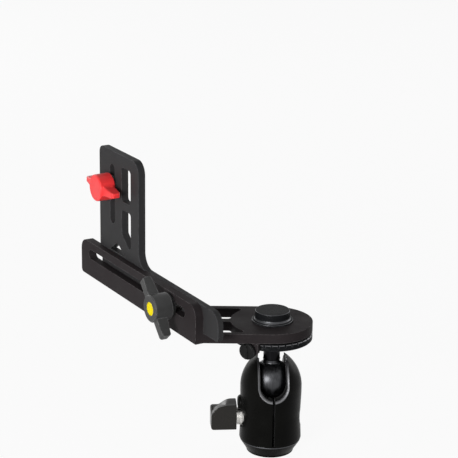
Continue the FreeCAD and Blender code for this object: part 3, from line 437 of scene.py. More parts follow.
# coated: name, colour, edge colour (worn and painted highlight), roughness, and the grain's scale and depth
# in mm
# brushed: name, colour, roughness, the lines' scale and depth in mm, and their stretch
# The lighter edge colours of the bracket, plate, rotator and knobs are painted highlight lines as much as
# wear; the plate's bluish one stands for a cool light.
BRACKET_BLACK = coated("bracket_black", (0.0265, 0.0225, 0.0235), (0.135, 0.125, 0.128), 0.5, 2600.0, 0.02,
                       wear_and_highlight_amount=0.85, cloud_scale=45.0, specular=0.03, wear_and_highlight_width=0.0007)
PLATE_BLACK = coated("plate_black", (0.036, 0.0355, 0.0365), (0.14, 0.145, 0.155), 0.5, 2600.0, 0.02,
                     wear_and_highlight_amount=0.8, cloud_scale=40.0, specular=0.04, wear_and_highlight_width=0.0007)
HEAD_BLACK = coated("head_black", (0.0034, 0.0034, 0.0030), (0.03, 0.03, 0.03), 0.32, 3200.0, 0.006,
                    wear_and_highlight_amount=0.3, cloud_scale=70.0, specular=0.035, sheen=0.10)
RIM_BRIGHT = brushed("notch_rim", (0.13, 0.13, 0.135), 0.5, 900.0, 0.004, (1.0, 1.0, 0.3), spread=0.25)
SEAM_EDGE = brushed("seam_edge", (0.065, 0.066, 0.070), 0.42, 900.0, 0.004, (1.0, 1.0, 0.3), spread=0.3)
ROTATOR_BLACK = coated("rotator_black", (0.0100, 0.0105, 0.0115), (0.11, 0.11, 0.12), 0.3, 2800.0, 0.008,
                       wear_and_highlight_amount=0.85, cloud_scale=70.0, specular=0.02)
KNOB_BLACK = coated("knob_black", (0.046, 0.046, 0.046), (0.19, 0.19, 0.19), 0.46, 1600.0, 0.03,
                    wear_and_highlight_amount=0.8, cloud_scale=90.0, specular=0.2, wear_and_highlight_width=0.0011)
THUMB_BLACK = coated("thumb_black", (0.006, 0.006, 0.006), (0.05, 0.05, 0.05), 0.42, 1600.0, 0.02,
                     wear_and_highlight_amount=0.6, cloud_scale=90.0, specular=0.12)
KNOB_GLOSS = coated("lock_knob_black", (0.0085, 0.0070, 0.0052), (0.08, 0.08, 0.085), 0.22, 1800.0, 0.008,
                    wear_and_highlight_amount=0.2, cloud_scale=90.0, specular=0.3)
KNOB_RED = coated("knob_red", (0.95, 0.042, 0.045), (0.95, 0.20, 0.18), 0.40, 1400.0, 0.02,
                  wear_and_highlight_amount=0.6, cloud_scale=80.0, colour_spread=0.05, specular=0.4)
CAP_YELLOW = coated("cap_yellow", (0.88, 0.71, 0.0), (1.0, 0.88, 0.1), 0.5, 1500.0, 0.01,
                    wear_and_highlight_amount=0.4, cloud_scale=120.0, colour_spread=0.03, specular=0.2)
NYLON = coated("seat_nylon", (0.015, 0.015, 0.015), (0.05, 0.05, 0.05), 0.5, 1500.0, 0.015, wear_and_highlight_amount=0.2,
               specular=0.2)
BALL_BLACK = brushed("ball_black", (0.058, 0.059, 0.063), 0.38, 1000.0, 0.02, (1.0, 1.0, 0.05), spread=0.6)
# The stem's darker black is painted shade, for the dim reflections the stem gets under the disc.
STEM_SHADED_BLACK = brushed("stem_painted_shade_black", (0.010, 0.010, 0.011), 0.32, 1400.0, 0.008, (1.0, 1.0, 0.06), spread=0.4)
STEEL = brushed("bright_steel", (0.62, 0.61, 0.59), 0.25, 1200.0, 0.01, (0.1, 0.1, 1.0))
BRONZE = brushed("bush_bronze", (0.55, 0.38, 0.18), 0.4, 1200.0, 0.01, (0.1, 0.1, 1.0))


# ------------ ball head

# The ball head is drawn with its notch towards -Y and its lock screw towards -X, then turned about Z.
HOUSING_FOOT = low_mm("housing").z + 0.02
HOUSING_TOP = high_mm("housing").z
BALL_RADIUS = 12.5
BALL_CENTRE = low_mm("ball").z + BALL_RADIUS
WAIST_HEIGHT, WAIST_RADIUS, FOOT_RADIUS = 26.0, 18.7, 19.4
BELLY_LOW, BELLY_HIGH, BELLY_RADIUS = 39.0, 43.0, 19.2
MOUTH_RADIUS, MOUTH_ROUND = 8.9, 0.6
SOCKET_RADIUS, SOCKET_FLOOR = 12.8, 27.6
NOTCH_HALF, NOTCH_MIDDLE, NOTCH_BEVEL = 8.1, 47.5, 1.6
SLIT_HALF, SLIT_EDGE, SLIT_REACH = 0.8, 0.12, -12.2
LOCK_HEIGHT = (low_mm("lock_washer").z + high_mm("lock_washer").z) / 2
RIM_REACH, RIM_STEPS = NOTCH_HALF + NOTCH_BEVEL, 6
NOTCH_FOOT = NOTCH_MIDDLE - RIM_REACH

# The dome is an arc about a point inside the housing, and a small round joins it to the mouth.
DOME_RISE = HOUSING_TOP - BELLY_HIGH
DOME_CENTRE = (MOUTH_RADIUS ** 2 + DOME_RISE ** 2 - BELLY_RADIUS ** 2) / (2 * (MOUTH_RADIUS - BELLY_RADIUS))
DOME_RADIUS = BELLY_RADIUS - DOME_CENTRE
LIP_CENTRE = MOUTH_RADIUS + MOUTH_ROUND
LIP_HEIGHT = BELLY_HIGH + sqrt((DOME_RADIUS - MOUTH_ROUND) ** 2 - (LIP_CENTRE - DOME_CENTRE) ** 2)
LIP_START = BELLY_HIGH + (LIP_HEIGHT - BELLY_HIGH) * DOME_RADIUS / (DOME_RADIUS - MOUTH_ROUND)


def housing_radius(height):
    """Outer radius of the housing at a height."""
    if height < BELLY_LOW:
        rows = ((HOUSING_FOOT, FOOT_RADIUS), (WAIST_HEIGHT, WAIST_RADIUS), (BELLY_LOW, BELLY_RADIUS))
        (low, start), (high, stop) = rows[:2] if height < WAIST_HEIGHT else rows[1:]
        return start + (stop - start) * ((height - low) / (high - low))
    if height < BELLY_HIGH:
        return BELLY_RADIUS
    if height < LIP_START:
        return DOME_CENTRE + sqrt(DOME_RADIUS ** 2 - (height - BELLY_HIGH) ** 2)
    return LIP_CENTRE + sqrt(max(MOUTH_ROUND ** 2 - (height - LIP_HEIGHT) ** 2, 0))


def socket_radius(height):
    """Inner radius of the housing at a height."""
    if height < BALL_CENTRE:
        return SOCKET_RADIUS
    if height > LIP_HEIGHT:
        return LIP_CENTRE - sqrt(max(MOUTH_ROUND ** 2 - (height - LIP_HEIGHT) ** 2, 0))
    return sqrt(max(SOCKET_RADIUS ** 2 - (height - BALL_CENTRE) ** 2, MOUTH_RADIUS ** 2))


def depth_at(radius, half):
    """How far in front of the axis a round wall lies, at half an opening's width."""
    return sqrt(max(radius ** 2 - half ** 2, 0))


def rim_bevel(height):
    """Width of the notch's rounded rim: it fades where the cheeks thin out into horns."""
    low, high = 0.0, NOTCH_BEVEL
    wall = depth_at(socket_radius(height), NOTCH_HALF)
    if height < NOTCH_MIDDLE or depth_at(housing_radius(height), NOTCH_HALF + high) - high >= wall:
        return high
    for _ in range(20):
        middle = (low + high) / 2
        if depth_at(housing_radius(height), NOTCH_HALF + middle) - middle >= wall:
            low = middle
        else:
            high = middle
    return low


def rim_heights():
    """Heights at which the housing's rims are drawn: slit, round end of the notch, sides and lip."""
    top, steps = LIP_HEIGHT + MOUTH_ROUND, 20
    heights = [HOUSING_FOOT + (NOTCH_FOOT - HOUSING_FOOT) * i / steps for i in range(steps + 1)]
    heights += [WAIST_HEIGHT, SOCKET_FLOOR]
    quarter = [radians(90 / steps * i) for i in range(1, steps + 1)]
    heights += [NOTCH_MIDDLE - RIM_REACH * cos(a) for a in quarter]
    heights += [NOTCH_MIDDLE + (LIP_START - NOTCH_MIDDLE) * sin(a) for a in quarter]
    heights += [LIP_START + (top - LIP_START) * sin(radians(15 * i)) for i in range(1, 7)]
    return sorted(heights)


def rim_row(height, slit_half, slit_edge):
    """One row over an opening's rim: outer height and half width, inner ones, and depth of the round."""
    if height < NOTCH_FOOT - SAME:
        return height, slit_half + slit_edge, height, slit_half, slit_edge
    if height < NOTCH_MIDDLE - SAME:
        wide = sqrt(max(RIM_REACH ** 2 - (NOTCH_MIDDLE - height) ** 2, 0))
        shrink = NOTCH_HALF / RIM_REACH
        return (height, max(wide, slit_half + slit_edge), NOTCH_MIDDLE - (NOTCH_MIDDLE - height) * shrink,
                max(wide * shrink, slit_half), NOTCH_BEVEL)
    bevel = rim_bevel(height)
    return height, NOTCH_HALF + bevel, height, NOTCH_HALF, bevel


def curtain_row(bm, radius, height, front, back, around):
    """Points round the right half of a wall, from the front opening to the back one."""
    start = asin(min(front / radius, 1))
    stop = pi - asin(min(back / radius, 1))
    angles = [start + (stop - start) * i / around for i in range(around + 1)]
    return [bm.verts.new((radius * sin(a), -radius * cos(a), height)) for a in angles]


def rim_strip(bm, outer, row, sign, steps=RIM_STEPS):
    """Points over the rounded rim of an opening, from the outer wall to its flat side."""
    height, wide, inner_height, half, roll = row
    strip = [outer]
    for i in range(1, steps + 1):
        a = radians(90 * i / steps)
        share = 1 - sin(a)
        y = outer.co.y - sign * roll * (1 - cos(a))
        strip.append(bm.verts.new((half + (wide - half) * share, y,
                                   inner_height + (height - inner_height) * share)))
    return strip


def join_rows(bm, rows, rim=0):
    """Faces between neighbouring rows of points. The first of them, as many as rim says, are bright."""
    for low, high in zip(rows, rows[1:]):
        for i in range(len(low) - 1):
            face = bm.faces.new((low[i], low[i + 1], high[i + 1], high[i]))
            face.material_index = 1 if i < rim else 0


def housing_half(bm, around=72):
    """The right half of the housing: its outer wall, socket, notch rims, slit, floor and foot."""
    outer, inner, slit_rows, flank_rows, back_rows = [], [], [], [], []
    for height in rim_heights():
        front = rim_row(height, SLIT_HALF, SLIT_EDGE)
        back = rim_row(height, 0.0, 0.0)
        low = front[2]
        row = curtain_row(bm, housing_radius(height), height, front[1], back[1], around)
        front_rim = rim_strip(bm, row[0], front, -1)
        outer.append(row)
        if low > SOCKET_FLOOR - SAME:
            wall = curtain_row(bm, socket_radius(low), low, front[3], back[3], around)
            inner.append(wall)
            flank_rows.append(front_rim + [wall[0]])
        else:
            wall = [bm.verts.new((SLIT_HALF, -depth_at(SOCKET_RADIUS, SLIT_HALF), low))]
        if low < SOCKET_FLOOR + SAME:
            slit_rows.append(front_rim + [wall[0], bm.verts.new((SLIT_HALF, SLIT_REACH, low)),
                                          bm.verts.new((0, SLIT_REACH, low))])
        if height > NOTCH_FOOT - SAME:
            back_rows.append(rim_strip(bm, row[-1], back, 1) + [wall[-1]])
    join_rows(bm, outer)
    join_rows(bm, inner)
    join_rows(bm, slit_rows)
    join_rows(bm, [row for row in flank_rows if row[0].co.z <= NOTCH_FOOT + SAME])
    join_rows(bm, [row for row in flank_rows if row[0].co.z >= NOTCH_FOOT - SAME], RIM_STEPS)
    join_rows(bm, back_rows, RIM_STEPS)
    bm.faces.new(inner[0] + [slit_rows[-1][-1], slit_rows[-1][-2]])
    bm.faces.new(outer[0] + slit_rows[0][:0:-1])


# Round shapes across the housing: radius, and distance of their face from the axis
SPOT_RADIUS, SPOT_DISTANCE = 7.3, 15.5
FAR_SPOT_RADIUS, FAR_SPOT_DISTANCE = 6.2, 17.2
BOSS_RADIUS, BOSS_HEIGHT, BOSS_DISTANCE, BOSS_ROUND = 5.0, 31.6, 20.9, 2.2
LOCK_BORE, LOCK_BORE_START = 4.1, -12.5
OUTSIDE = 30   # a distance beyond the housing's wall


def lock_side(height, side=-1):
    """A place whose Z axis runs out of the housing, towards the lock knob or away from it."""
    return HEAD_PLACE @ axis_place((0, 0, height), (side, 0, 0))


def make_housing():
    """The split shell: two mirrored halves, then the boss, the spot faces and the lock screw's bore."""
    bm = bmesh.new()
    housing_half(bm)
    half = bmesh.ops.duplicate(bm, geom=bm.verts[:] + bm.edges[:] + bm.faces[:])["geom"]
    copied = [v for v in half if isinstance(v, bmesh.types.BMVert)]
    bmesh.ops.scale(bm, vec=(-1, 1, 1), verts=copied)
    bmesh.ops.remove_doubles(bm, verts=bm.verts, dist=1e-3)
    bmesh.ops.dissolve_degenerate(bm, edges=bm.edges, dist=MERGE)
    bmesh.ops.transform(bm, matrix=HEAD_PLACE, verts=bm.verts)
    piece = make_object("housing_shell", bm, HEAD_BLACK)
    piece.data.materials.append(RIM_BRIGHT)
    boss = [(0, SPOT_DISTANCE - 1), (BOSS_RADIUS, SPOT_DISTANCE - 1)]
    boss += arc(BOSS_RADIUS - BOSS_ROUND, BOSS_DISTANCE - BOSS_ROUND, BOSS_ROUND, 0, 90, 6)
    boss += [(0, BOSS_DISTANCE)]
    spot = disc_profile(SPOT_RADIUS, SPOT_DISTANCE, OUTSIDE)
    far_spot = disc_profile(FAR_SPOT_RADIUS, FAR_SPOT_DISTANCE, OUTSIDE)
    bore = disc_profile(LOCK_BORE, LOCK_BORE_START, OUTSIDE)
    join_shape(piece, "UNION", boss, lock_side(BOSS_HEIGHT))
    join_shape(piece, "DIFFERENCE", spot, lock_side(LOCK_HEIGHT))
    join_shape(piece, "DIFFERENCE", far_spot, lock_side(LOCK_HEIGHT, 1))
    join_shape(piece, "DIFFERENCE", bore, lock_side(LOCK_HEIGHT))
    piece = soften(piece, 0.3, 2, angle=32)
    return finish_piece(smooth(piece, 40), "housing")


STEM_RADIUS, STEM_NECK = 5.15, 1.2   # the neck is the round between ball and stem
STEM_RIDGE = [(0, 1.2), (0.25, 1.35), (0.25, 1.7), (0, 1.85)]   # beyond the stem, above its foot
# Above this height the stem is painted darker, as shade.
STEM_START = 1.0   # the turned stem's black begins this far above its foot


def make_ball():
    """The ball and its stem in one, with a fine ridge round the stem's foot; the stem gets a darker black as
    painted shade.
    """
    top = high_mm("ball").z
    reach = sqrt((BALL_RADIUS + STEM_NECK) ** 2 - (STEM_RADIUS + STEM_NECK) ** 2)
    lean = degrees(atan2(reach, STEM_RADIUS + STEM_NECK))
    foot = BALL_CENTRE + reach
    profile = [(0, BALL_CENTRE - BALL_RADIUS)]
    profile += arc(0, BALL_CENTRE, BALL_RADIUS, -88, lean, 64)
    profile += arc(STEM_RADIUS + STEM_NECK, foot, STEM_NECK, 180 + lean, 180, 8)[1:]
    profile += [(STEM_RADIUS + out, foot + up) for out, up in STEM_RIDGE]
    profile += [(STEM_RADIUS, top - 0.3), (STEM_RADIUS - 0.3, top), (0, top)]
    piece = turned("ball_and_stem", BALL_BLACK, profile, HEAD_PLACE, around=112)
    mark_faces(piece, STEM_SHADED_BLACK, lambda far, height, up: height > foot + STEM_START)
    return finish_piece(smooth(piece), "ball")


# Outlines of the lock knob: distance from the housing's axis, height above the screw, and rounding.
LOCK_KNOB_BACK = [(21.6, -7.6, 0.6), (37.8, -7.6, 2.0), (37.8, 6.5, 1.8), (32.4, 6.5, 2.5),
                  (27.1, 10.2, 11.0), (21.6, 10.2, 0.6)]
LOCK_KNOB_FRONT = [(21.6, -7.6, 0.6), (37.6, -7.6, 2.0), (37.5, 2.4, 4.0), (34.4, 7.0, 4.0),
                   (28.0, 8.7, 6.0), (21.6, 8.8, 0.6)]
LOCK_KNOB_HALF, LOCK_KNOB_HOLE, LOCK_KNOB_FACE = 4.5, 9.0, 21.6
LOCK_KNOB_SECTIONS = (0.0, 0.12, 0.3, 0.55, 0.8, 1.0)   # shares of the way from front to back
LOCK_THREAD = 4.0

# The lock screw's shoulder and neck, each with a groove: radius, and height above the screw's face.
LOCK_SCREW_FACE, LOCK_SCREW_END = SPOT_DISTANCE + 1.15, -12
LOCK_SHOULDER = [(5.8, 0), (6.1, 0.3), (6.1, 1.3), (5.75, 1.5), (5.75, 1.7), (6.1, 1.9), (6.1, 2.7),
                 (5.85, 2.95), (5.5, 2.95), (5.5, 3.3), (5.2, 3.5), (5.5, 3.7), (5.5, 4.1), (5.2, 4.3),
                 (5.5, 4.5), (5.5, LOCK_KNOB_FACE - LOCK_SCREW_FACE)]


def make_lock_knob():
    """A moulded paddle: its back carries a hump over the screw and its front a long round shoulder."""
    back, front = outline_points(LOCK_KNOB_BACK), outline_points(LOCK_KNOB_FRONT)
    bm = bmesh.new()
    sections = []
    for share in LOCK_KNOB_SECTIONS:
        depth = LOCK_KNOB_HALF * (2 * share - 1)
        ease = share * share * (3 - 2 * share)
        section = [a.lerp(b, ease) for a, b in zip(front, back)]
        sections.append([bm.verts.new((-p.x, depth, LOCK_HEIGHT + p.y)) for p in section])
    skin(bm, sections)
    bmesh.ops.transform(bm, matrix=HEAD_PLACE, verts=bm.verts)
    piece = make_object("lock_knob_paddle", bm, KNOB_GLOSS)
    soften(piece, 0.8, 4, angle=35)
    hole = disc_profile(LOCK_THREAD, LOCK_KNOB_FACE - 1.6, LOCK_KNOB_FACE + LOCK_KNOB_HOLE)
    join_shape(piece, "DIFFERENCE", hole, lock_side(LOCK_HEIGHT))
    return finish_piece(smooth(piece, 50), "lock_knob")


def make_lock_screw():
    """The steel screw: a shoulder with a groove between housing and knob, plain inside both."""
    end = LOCK_KNOB_FACE + LOCK_KNOB_HOLE - 0.05
    profile = [(0, LOCK_SCREW_END), (LOCK_THREAD - 0.3, LOCK_SCREW_END), (LOCK_THREAD, LOCK_SCREW_END + 0.3),
               (LOCK_THREAD, LOCK_SCREW_FACE)]
    profile += [(radius, LOCK_SCREW_FACE + up) for radius, up in LOCK_SHOULDER]
    profile += [(LOCK_THREAD, LOCK_KNOB_FACE), (LOCK_THREAD, end), (0, end)]
    piece = turned("lock_screw_steel", STEEL, profile, lock_side(LOCK_HEIGHT), around=72)
    return finish_piece(smooth(piece, 30), "lock_screw")


BASE_BAND = 1.45   # how far below its top the base's bright turned edge reaches
RIM_NEAR = 0.3     # faces this near to the largest radius belong to a rim
FACING_UP = 0.9    # normals above this belong to a piece's top


def make_base_plate():
    piece = cad_copy("base_plate", "base_collar", HEAD_BLACK)
    smooth(soften(piece, 0.25, 2))
    top, reach = high_mm("base_plate").z, high_mm("base_plate").x - RIM_NEAR
    mark_faces(piece, SEAM_EDGE, lambda far, height, up:
               far > reach and top - BASE_BAND < height < top - 0.1 and up < FACING_UP)
    return finish_piece(piece, "base_plate")


# ------------ rotator

TOP_KNOB_FOOT, TOP_KNOB_HEAD, TOP_KNOB_EDGE, TOP_WASHER, PIVOT_HOLE = 11.5, 10.7, 0.35, 12.7, 4.05
TOP_KNOB_FLARE = [(0.05, 3.0), (0.15, 1.5), (0.4, 0.8)]   # beyond the head's radius, above the foot
EDGE_STEEP, EDGE_FLAT = 0.1, 0.97   # a rounded edge's faces look up between these


def make_top_knob():
    """The rotator's round knob, with a rounded rim and a flare at its foot, and the washer below."""
    low, high = low_mm("top_knob").z, high_mm("top_knob").z
    profile = [(0, high), (TOP_KNOB_HEAD - TOP_KNOB_EDGE - 0.8, high)]
    profile += arc(TOP_KNOB_HEAD - TOP_KNOB_EDGE, high - TOP_KNOB_EDGE, TOP_KNOB_EDGE, 90, 10, 5)
    profile += [(TOP_KNOB_HEAD + out, low + up) for out, up in TOP_KNOB_FLARE]
    profile += [(TOP_KNOB_FOOT - 0.05, low + 0.45), (TOP_KNOB_FOOT, low + 0.3), (TOP_KNOB_FOOT, low),
                (PIVOT_HOLE, low), (PIVOT_HOLE, high - 2), (0, high - 2)]
    piece = turned("rotator_knob", ROTATOR_BLACK, profile, around=128)
    mark_faces(piece, SEAM_EDGE,
               lambda far, height, up: EDGE_STEEP < up < EDGE_FLAT and height > low + 0.2)
    finish_piece(smooth(piece), "top_knob")
    low, high = low_mm("top_washer").z, high_mm("top_washer").z
    profile = [(PIVOT_HOLE, low), (TOP_WASHER, low), (TOP_WASHER, high - TOP_KNOB_EDGE)]
    profile += arc(TOP_WASHER - TOP_KNOB_EDGE, high - TOP_KNOB_EDGE, TOP_KNOB_EDGE, 0, 90, 4)[1:]
    profile += [(PIVOT_HOLE, high)]
    piece = turned("rotator_knob_washer", ROTATOR_BLACK, profile, around=128)
    mark_faces(piece, SEAM_EDGE, lambda far, height, up: EDGE_STEEP < up < EDGE_FLAT)
    finish_piece(smooth(piece), "top_washer")


# ------------ what repeats

def ring_tree(name, material):
    """Copies of a piece set evenly on a ring about Z, joined to the piece they stand on."""
    tree, inside, out = new_group(
        name,
        [("Geometry", "Geometry"), ("Copied", "Object"), ("Count", "Int"), ("Radius", "Float"),
         ("Height", "Float"), ("Start", "Float")],
        [("Geometry", "Geometry")], "GeometryNodeTree")
    ring = add_node(tree, "GeometryNodeMeshCircle")
    raised = add_node(tree, "GeometryNodeTransform")
    lift = add_node(tree, "ShaderNodeCombineXYZ")
    swing = add_node(tree, "ShaderNodeCombineXYZ")
    copied = add_node(tree, "GeometryNodeObjectInfo")
    spread = add_node(tree, "GeometryNodeInstanceOnPoints")
    where = add_node(tree, "GeometryNodeInputPosition")
    turn = add_node(tree, "FunctionNodeAlignRotationToVector", axis="X", pivot_axis="Z")
    join = add_node(tree, "GeometryNodeJoinGeometry")
    real = add_node(tree, "GeometryNodeRealizeInstances")
    finish = add_node(tree, "GeometryNodeSetMaterial", {"Material": material})
    wire(tree, (inside, "Count", ring, "Vertices"), (inside, "Radius", ring, "Radius"),
         (inside, "Height", lift, "Z"), (inside, "Start", swing, "Z"), (ring, "Mesh", raised, "Geometry"),
         (swing, "Vector", raised, "Rotation"), (lift, "Vector", raised, "Translation"),
         (where, "Position", turn, "Vector"), (raised, "Geometry", spread, "Points"),
         (inside, "Copied", copied, "Object"), (copied, "Geometry", spread, "Instance"),
         (turn, "Rotation", spread, "Rotation"), (inside, "Geometry", join, "Geometry"),
         (spread, "Instances", join, "Geometry"), (join, "Geometry", real, "Geometry"),
         (real, "Geometry", finish, "Geometry"), (finish, "Geometry", out, "Geometry"))
    return tree


def copy_round(piece, copied, count, radius, height, start=0.0):
    """Stand copies of one piece on a ring, join them to another and keep one plain mesh."""
    tree = ring_tree(piece.name + "_ring", piece.data.materials[0])
    ring = piece.modifiers.new("ring", "NODES")
    ring.node_group = tree
    values = {"Copied": copied, "Count": count, "Radius": radius * MM, "Height": height * MM, "Start": start}
    for socket in tree.interface.items_tree:
        if socket.name in values:
            ring[socket.identifier] = values[socket.name]
    bake(piece)
    bpy.data.objects.remove(copied)
    return piece


PAN_KNOB_RADIUS, PAN_KNOB_RIBS, PAN_RIB = 5.3, 30, 0.3
PAN_FOOT_SHARE, PAN_FOOT_ROUND = 0.78, 0.5   # the foot's share of the knob's length, and its edge
PAN_BLADE_HALF, PAN_BLADE_THICK, PAN_BLADE_TURN = 4.7, 1.9, radians(95)


def make_pan_lock_knob():
    """A small thumb knob: a round foot with ribs on its rim and a blade to grip. It is drawn about Z
    and laid along the lock's axis."""
    axis = Vector((cos(PAN_LOCK_TURN), sin(PAN_LOCK_TURN), 0))
    reach = [vertex.co.dot(axis) / MM for vertex in frame["nodes"]["pan_lock_knob"].data.vertices]
    low, length = min(reach), max(reach) - min(reach)
    foot, edge = length * PAN_FOOT_SHARE, PAN_FOOT_ROUND
    wall = PAN_KNOB_RADIUS - PAN_RIB
    profile = [(0, 0.02), (wall - 0.3, 0.02), (wall, 0.3), (wall, foot - edge)]
    profile += arc(wall - edge, foot - edge, edge, 0, 80, 5)[1:] + [(0, foot)]
    piece = turned("pan_lock_thumb_knob", THUMB_BLACK, profile, around=80)
    rib = [(0, 0.25), (PAN_RIB - 0.1, 0.25), (PAN_RIB, 0.4), (PAN_RIB, foot - 0.7),
           (PAN_RIB - 0.1, foot - 0.5), (0, foot - 0.45)]
    ridge = turned("pan_lock_rib", THUMB_BLACK, rib, around=12)
    blade = plate_of("pan_lock_blade", THUMB_BLACK, PAN_BLADE_THICK,
                     [(-PAN_BLADE_HALF, 0.6, 0.2), (PAN_BLADE_HALF, 0.6, 0.2),
                      (PAN_BLADE_HALF, length, 0.7), (-PAN_BLADE_HALF, length, 0.7)])
    join_pieces(piece, soften(blade, 0.3, 3))
    copy_round(piece, ridge, PAN_KNOB_RIBS, wall, 0.0)
    place = axis_place(Vector((axis.x * low, axis.y * low, middle_mm("pan_lock_knob").z)) * MM, axis)
    piece.data.transform(place @ Matrix.Rotation(PAN_BLADE_TURN, 4, "Z"))
    return finish_piece(smooth(piece, 40), "pan_lock_knob")


BASE_SCREWS, BASE_SCREW_CIRCLE = 3, 10.6
BASE_HEAD, BASE_SHANK, BASE_HEAD_DEPTH = 2.75, 1.7, 3.0
BASE_KEY, BASE_KEY_DEPTH = 1.2, 1.4   # half the width across the key's flats, and its depth


def socket_screw(name, material, length, around=36):
    """A screw with a hexagonal socket, its head's face at 0 and its shank upwards."""
    def key(turn):
        return BASE_KEY / cos((2 * pi * turn) % (pi / 3) - pi / 6)

    bm = bmesh.new()
    rows = [(key, BASE_KEY_DEPTH), (key, 0.0), (BASE_HEAD - 0.15, 0.0), (BASE_HEAD, 0.15),
            (BASE_HEAD, BASE_HEAD_DEPTH), (BASE_SHANK, BASE_HEAD_DEPTH + 0.02), (BASE_SHANK, length - 0.3),
            (BASE_SHANK - 0.3, length)]
    skin(bm, [circle(bm, radius, height, around) for radius, height in rows])
    return make_object(name, bm, material)


def make_base_screws():
    """Three socket screws that hold the base to the housing, turned about Z as the solids' are."""
    low, high = low_mm("base_screws").z, high_mm("base_screws").z
    spots = [v.co / MM for v in frame["nodes"]["base_screws"].data.vertices if v.co.z / MM < low + 0.05]
    turns = [atan2(spot.y, spot.x) % (2 * pi / BASE_SCREWS) for spot in spots]
    screw = socket_screw("base_screw", STEEL, high - low)
    holder = make_object("base_screw_set", bmesh.new(), STEEL)
    copy_round(holder, screw, BASE_SCREWS, BASE_SCREW_CIRCLE, low, (min(turns) + max(turns)) / 2)
    return finish_piece(smooth(holder, 40), "base_screws")


# ------------ pieces kept close to the CAD

# node, piece name, finish, rounding of its edges
PLAIN_PIECES = [
    ("bracket", "angle_bracket", BRACKET_BLACK, 0.4),
    ("camera_plate", "camera_plate_l", PLATE_BLACK, 0.5),
    ("lock_washer", "lock_screw_washer", STEEL, 0.1),
    ("pan_lock_screw", "pan_lock_steel", STEEL, 0.1),
    ("clamp_screw", "rail_clamp_screw", STEEL, 0.1),
    ("clamp_washer", "rail_clamp_washer", KNOB_BLACK, 0.15),
    ("clamp_cap", "clamp_knob_cap", CAP_YELLOW, 0.25),
    ("clamp_insert", "foot_insert", STEEL, 0.1),
    ("camera_washer", "camera_knob_washer", KNOB_BLACK, 0.15),
    ("platform_stud", "platform_stud_steel", STEEL, 0.1),
    ("pivot_bolt", "pivot_bolt_steel", STEEL, 0.1),
    ("pivot_bush", "pivot_bush_ring", BRONZE, 0.1),
    ("friction_washer", "friction_ring", NYLON, 0.1),
    ("ball_seat", "ball_seat_cup", NYLON, 0.1),
    ("base_bush", "base_bush_ring", STEEL, 0.15),
]


def make_plain_pieces():
    for node, name, material, edge in PLAIN_PIECES:
        piece = cad_copy(node, name, material)
        finish_piece(soften(smooth(piece, 30), edge, 2, crisp=True), node)


DISC_BRIGHT_BAND = 0.55   # height of the bright turned band below the disc's top


def make_index_disc():
    """The notched disc, with a turned bright band along the upper edge of its rim."""
    piece = cad_copy("index_disc", "index_disc_notched", ROTATOR_BLACK)
    high = high_mm("index_disc")
    start, reach = high.z - DISC_BRIGHT_BAND, high.x - RIM_NEAR
    bm = bmesh.new()
    bm.from_mesh(piece.data)
    bmesh.ops.bisect_plane(bm, geom=bm.verts[:] + bm.edges[:] + bm.faces[:], dist=1e-7,
                           plane_co=(0, 0, start * MM), plane_no=(0, 0, 1))
    bm.to_mesh(piece.data)
    bm.free()
    soften(smooth(piece, 30), 0.12, 2, crisp=True)
    mark_faces(piece, RIM_BRIGHT,
               lambda far, height, up: far > reach and height > start and up < FACING_UP)
    return finish_piece(piece, "index_disc")


CAMERA_SHANK, CAMERA_THREAD, CAMERA_PITCH, CAMERA_THREAD_DEPTH = 2.5, 3.1, 1.27, 0.45


def make_camera_screw():
    """A captive screw: a plain shank through the plate and a threaded free end."""
    low, high, middle = low_mm("camera_screw"), high_mm("camera_screw"), middle_mm("camera_screw")
    start = high_mm("camera_plate").x + 0.3
    place = axis_place((0, middle.y, middle.z), (1, 0, 0))
    thread = threaded("camera_screw_thread", STEEL, CAMERA_THREAD, CAMERA_THREAD_DEPTH, CAMERA_PITCH,
                      start, high.x, place)
    shank = turned("camera_screw_steel", STEEL, disc_profile(CAMERA_SHANK, low.x, start + 0.2), place,
                   around=48)
    join_pieces(shank, thread)
    return finish_piece(smooth(shank, 40), "camera_screw")


CLAMP_HUB, CLAMP_COLLAR, CLAMP_COLLAR_LENGTH, CLAMP_EDGE = 8.6, 6.0, 1.6, 0.6
CAP_RADIUS, CAP_DEPTH = 4.35, 1.6   # the recess that holds the cap
CLAMP_SPAN, CLAMP_WING_WIDTH, CLAMP_WING_TURN = 40.2, 5.4, radians(41.5)
# A wing along the knob's axis: its tip's outer and inner end and their rounding, and its root's.
WING_TIP_OUTER, WING_TIP_INNER, WING_TIP_ROUND = -12.2, -6.6, 1.8
WING_ROOT_OUTER, WING_ROOT_INNER = -12.5, -4.2


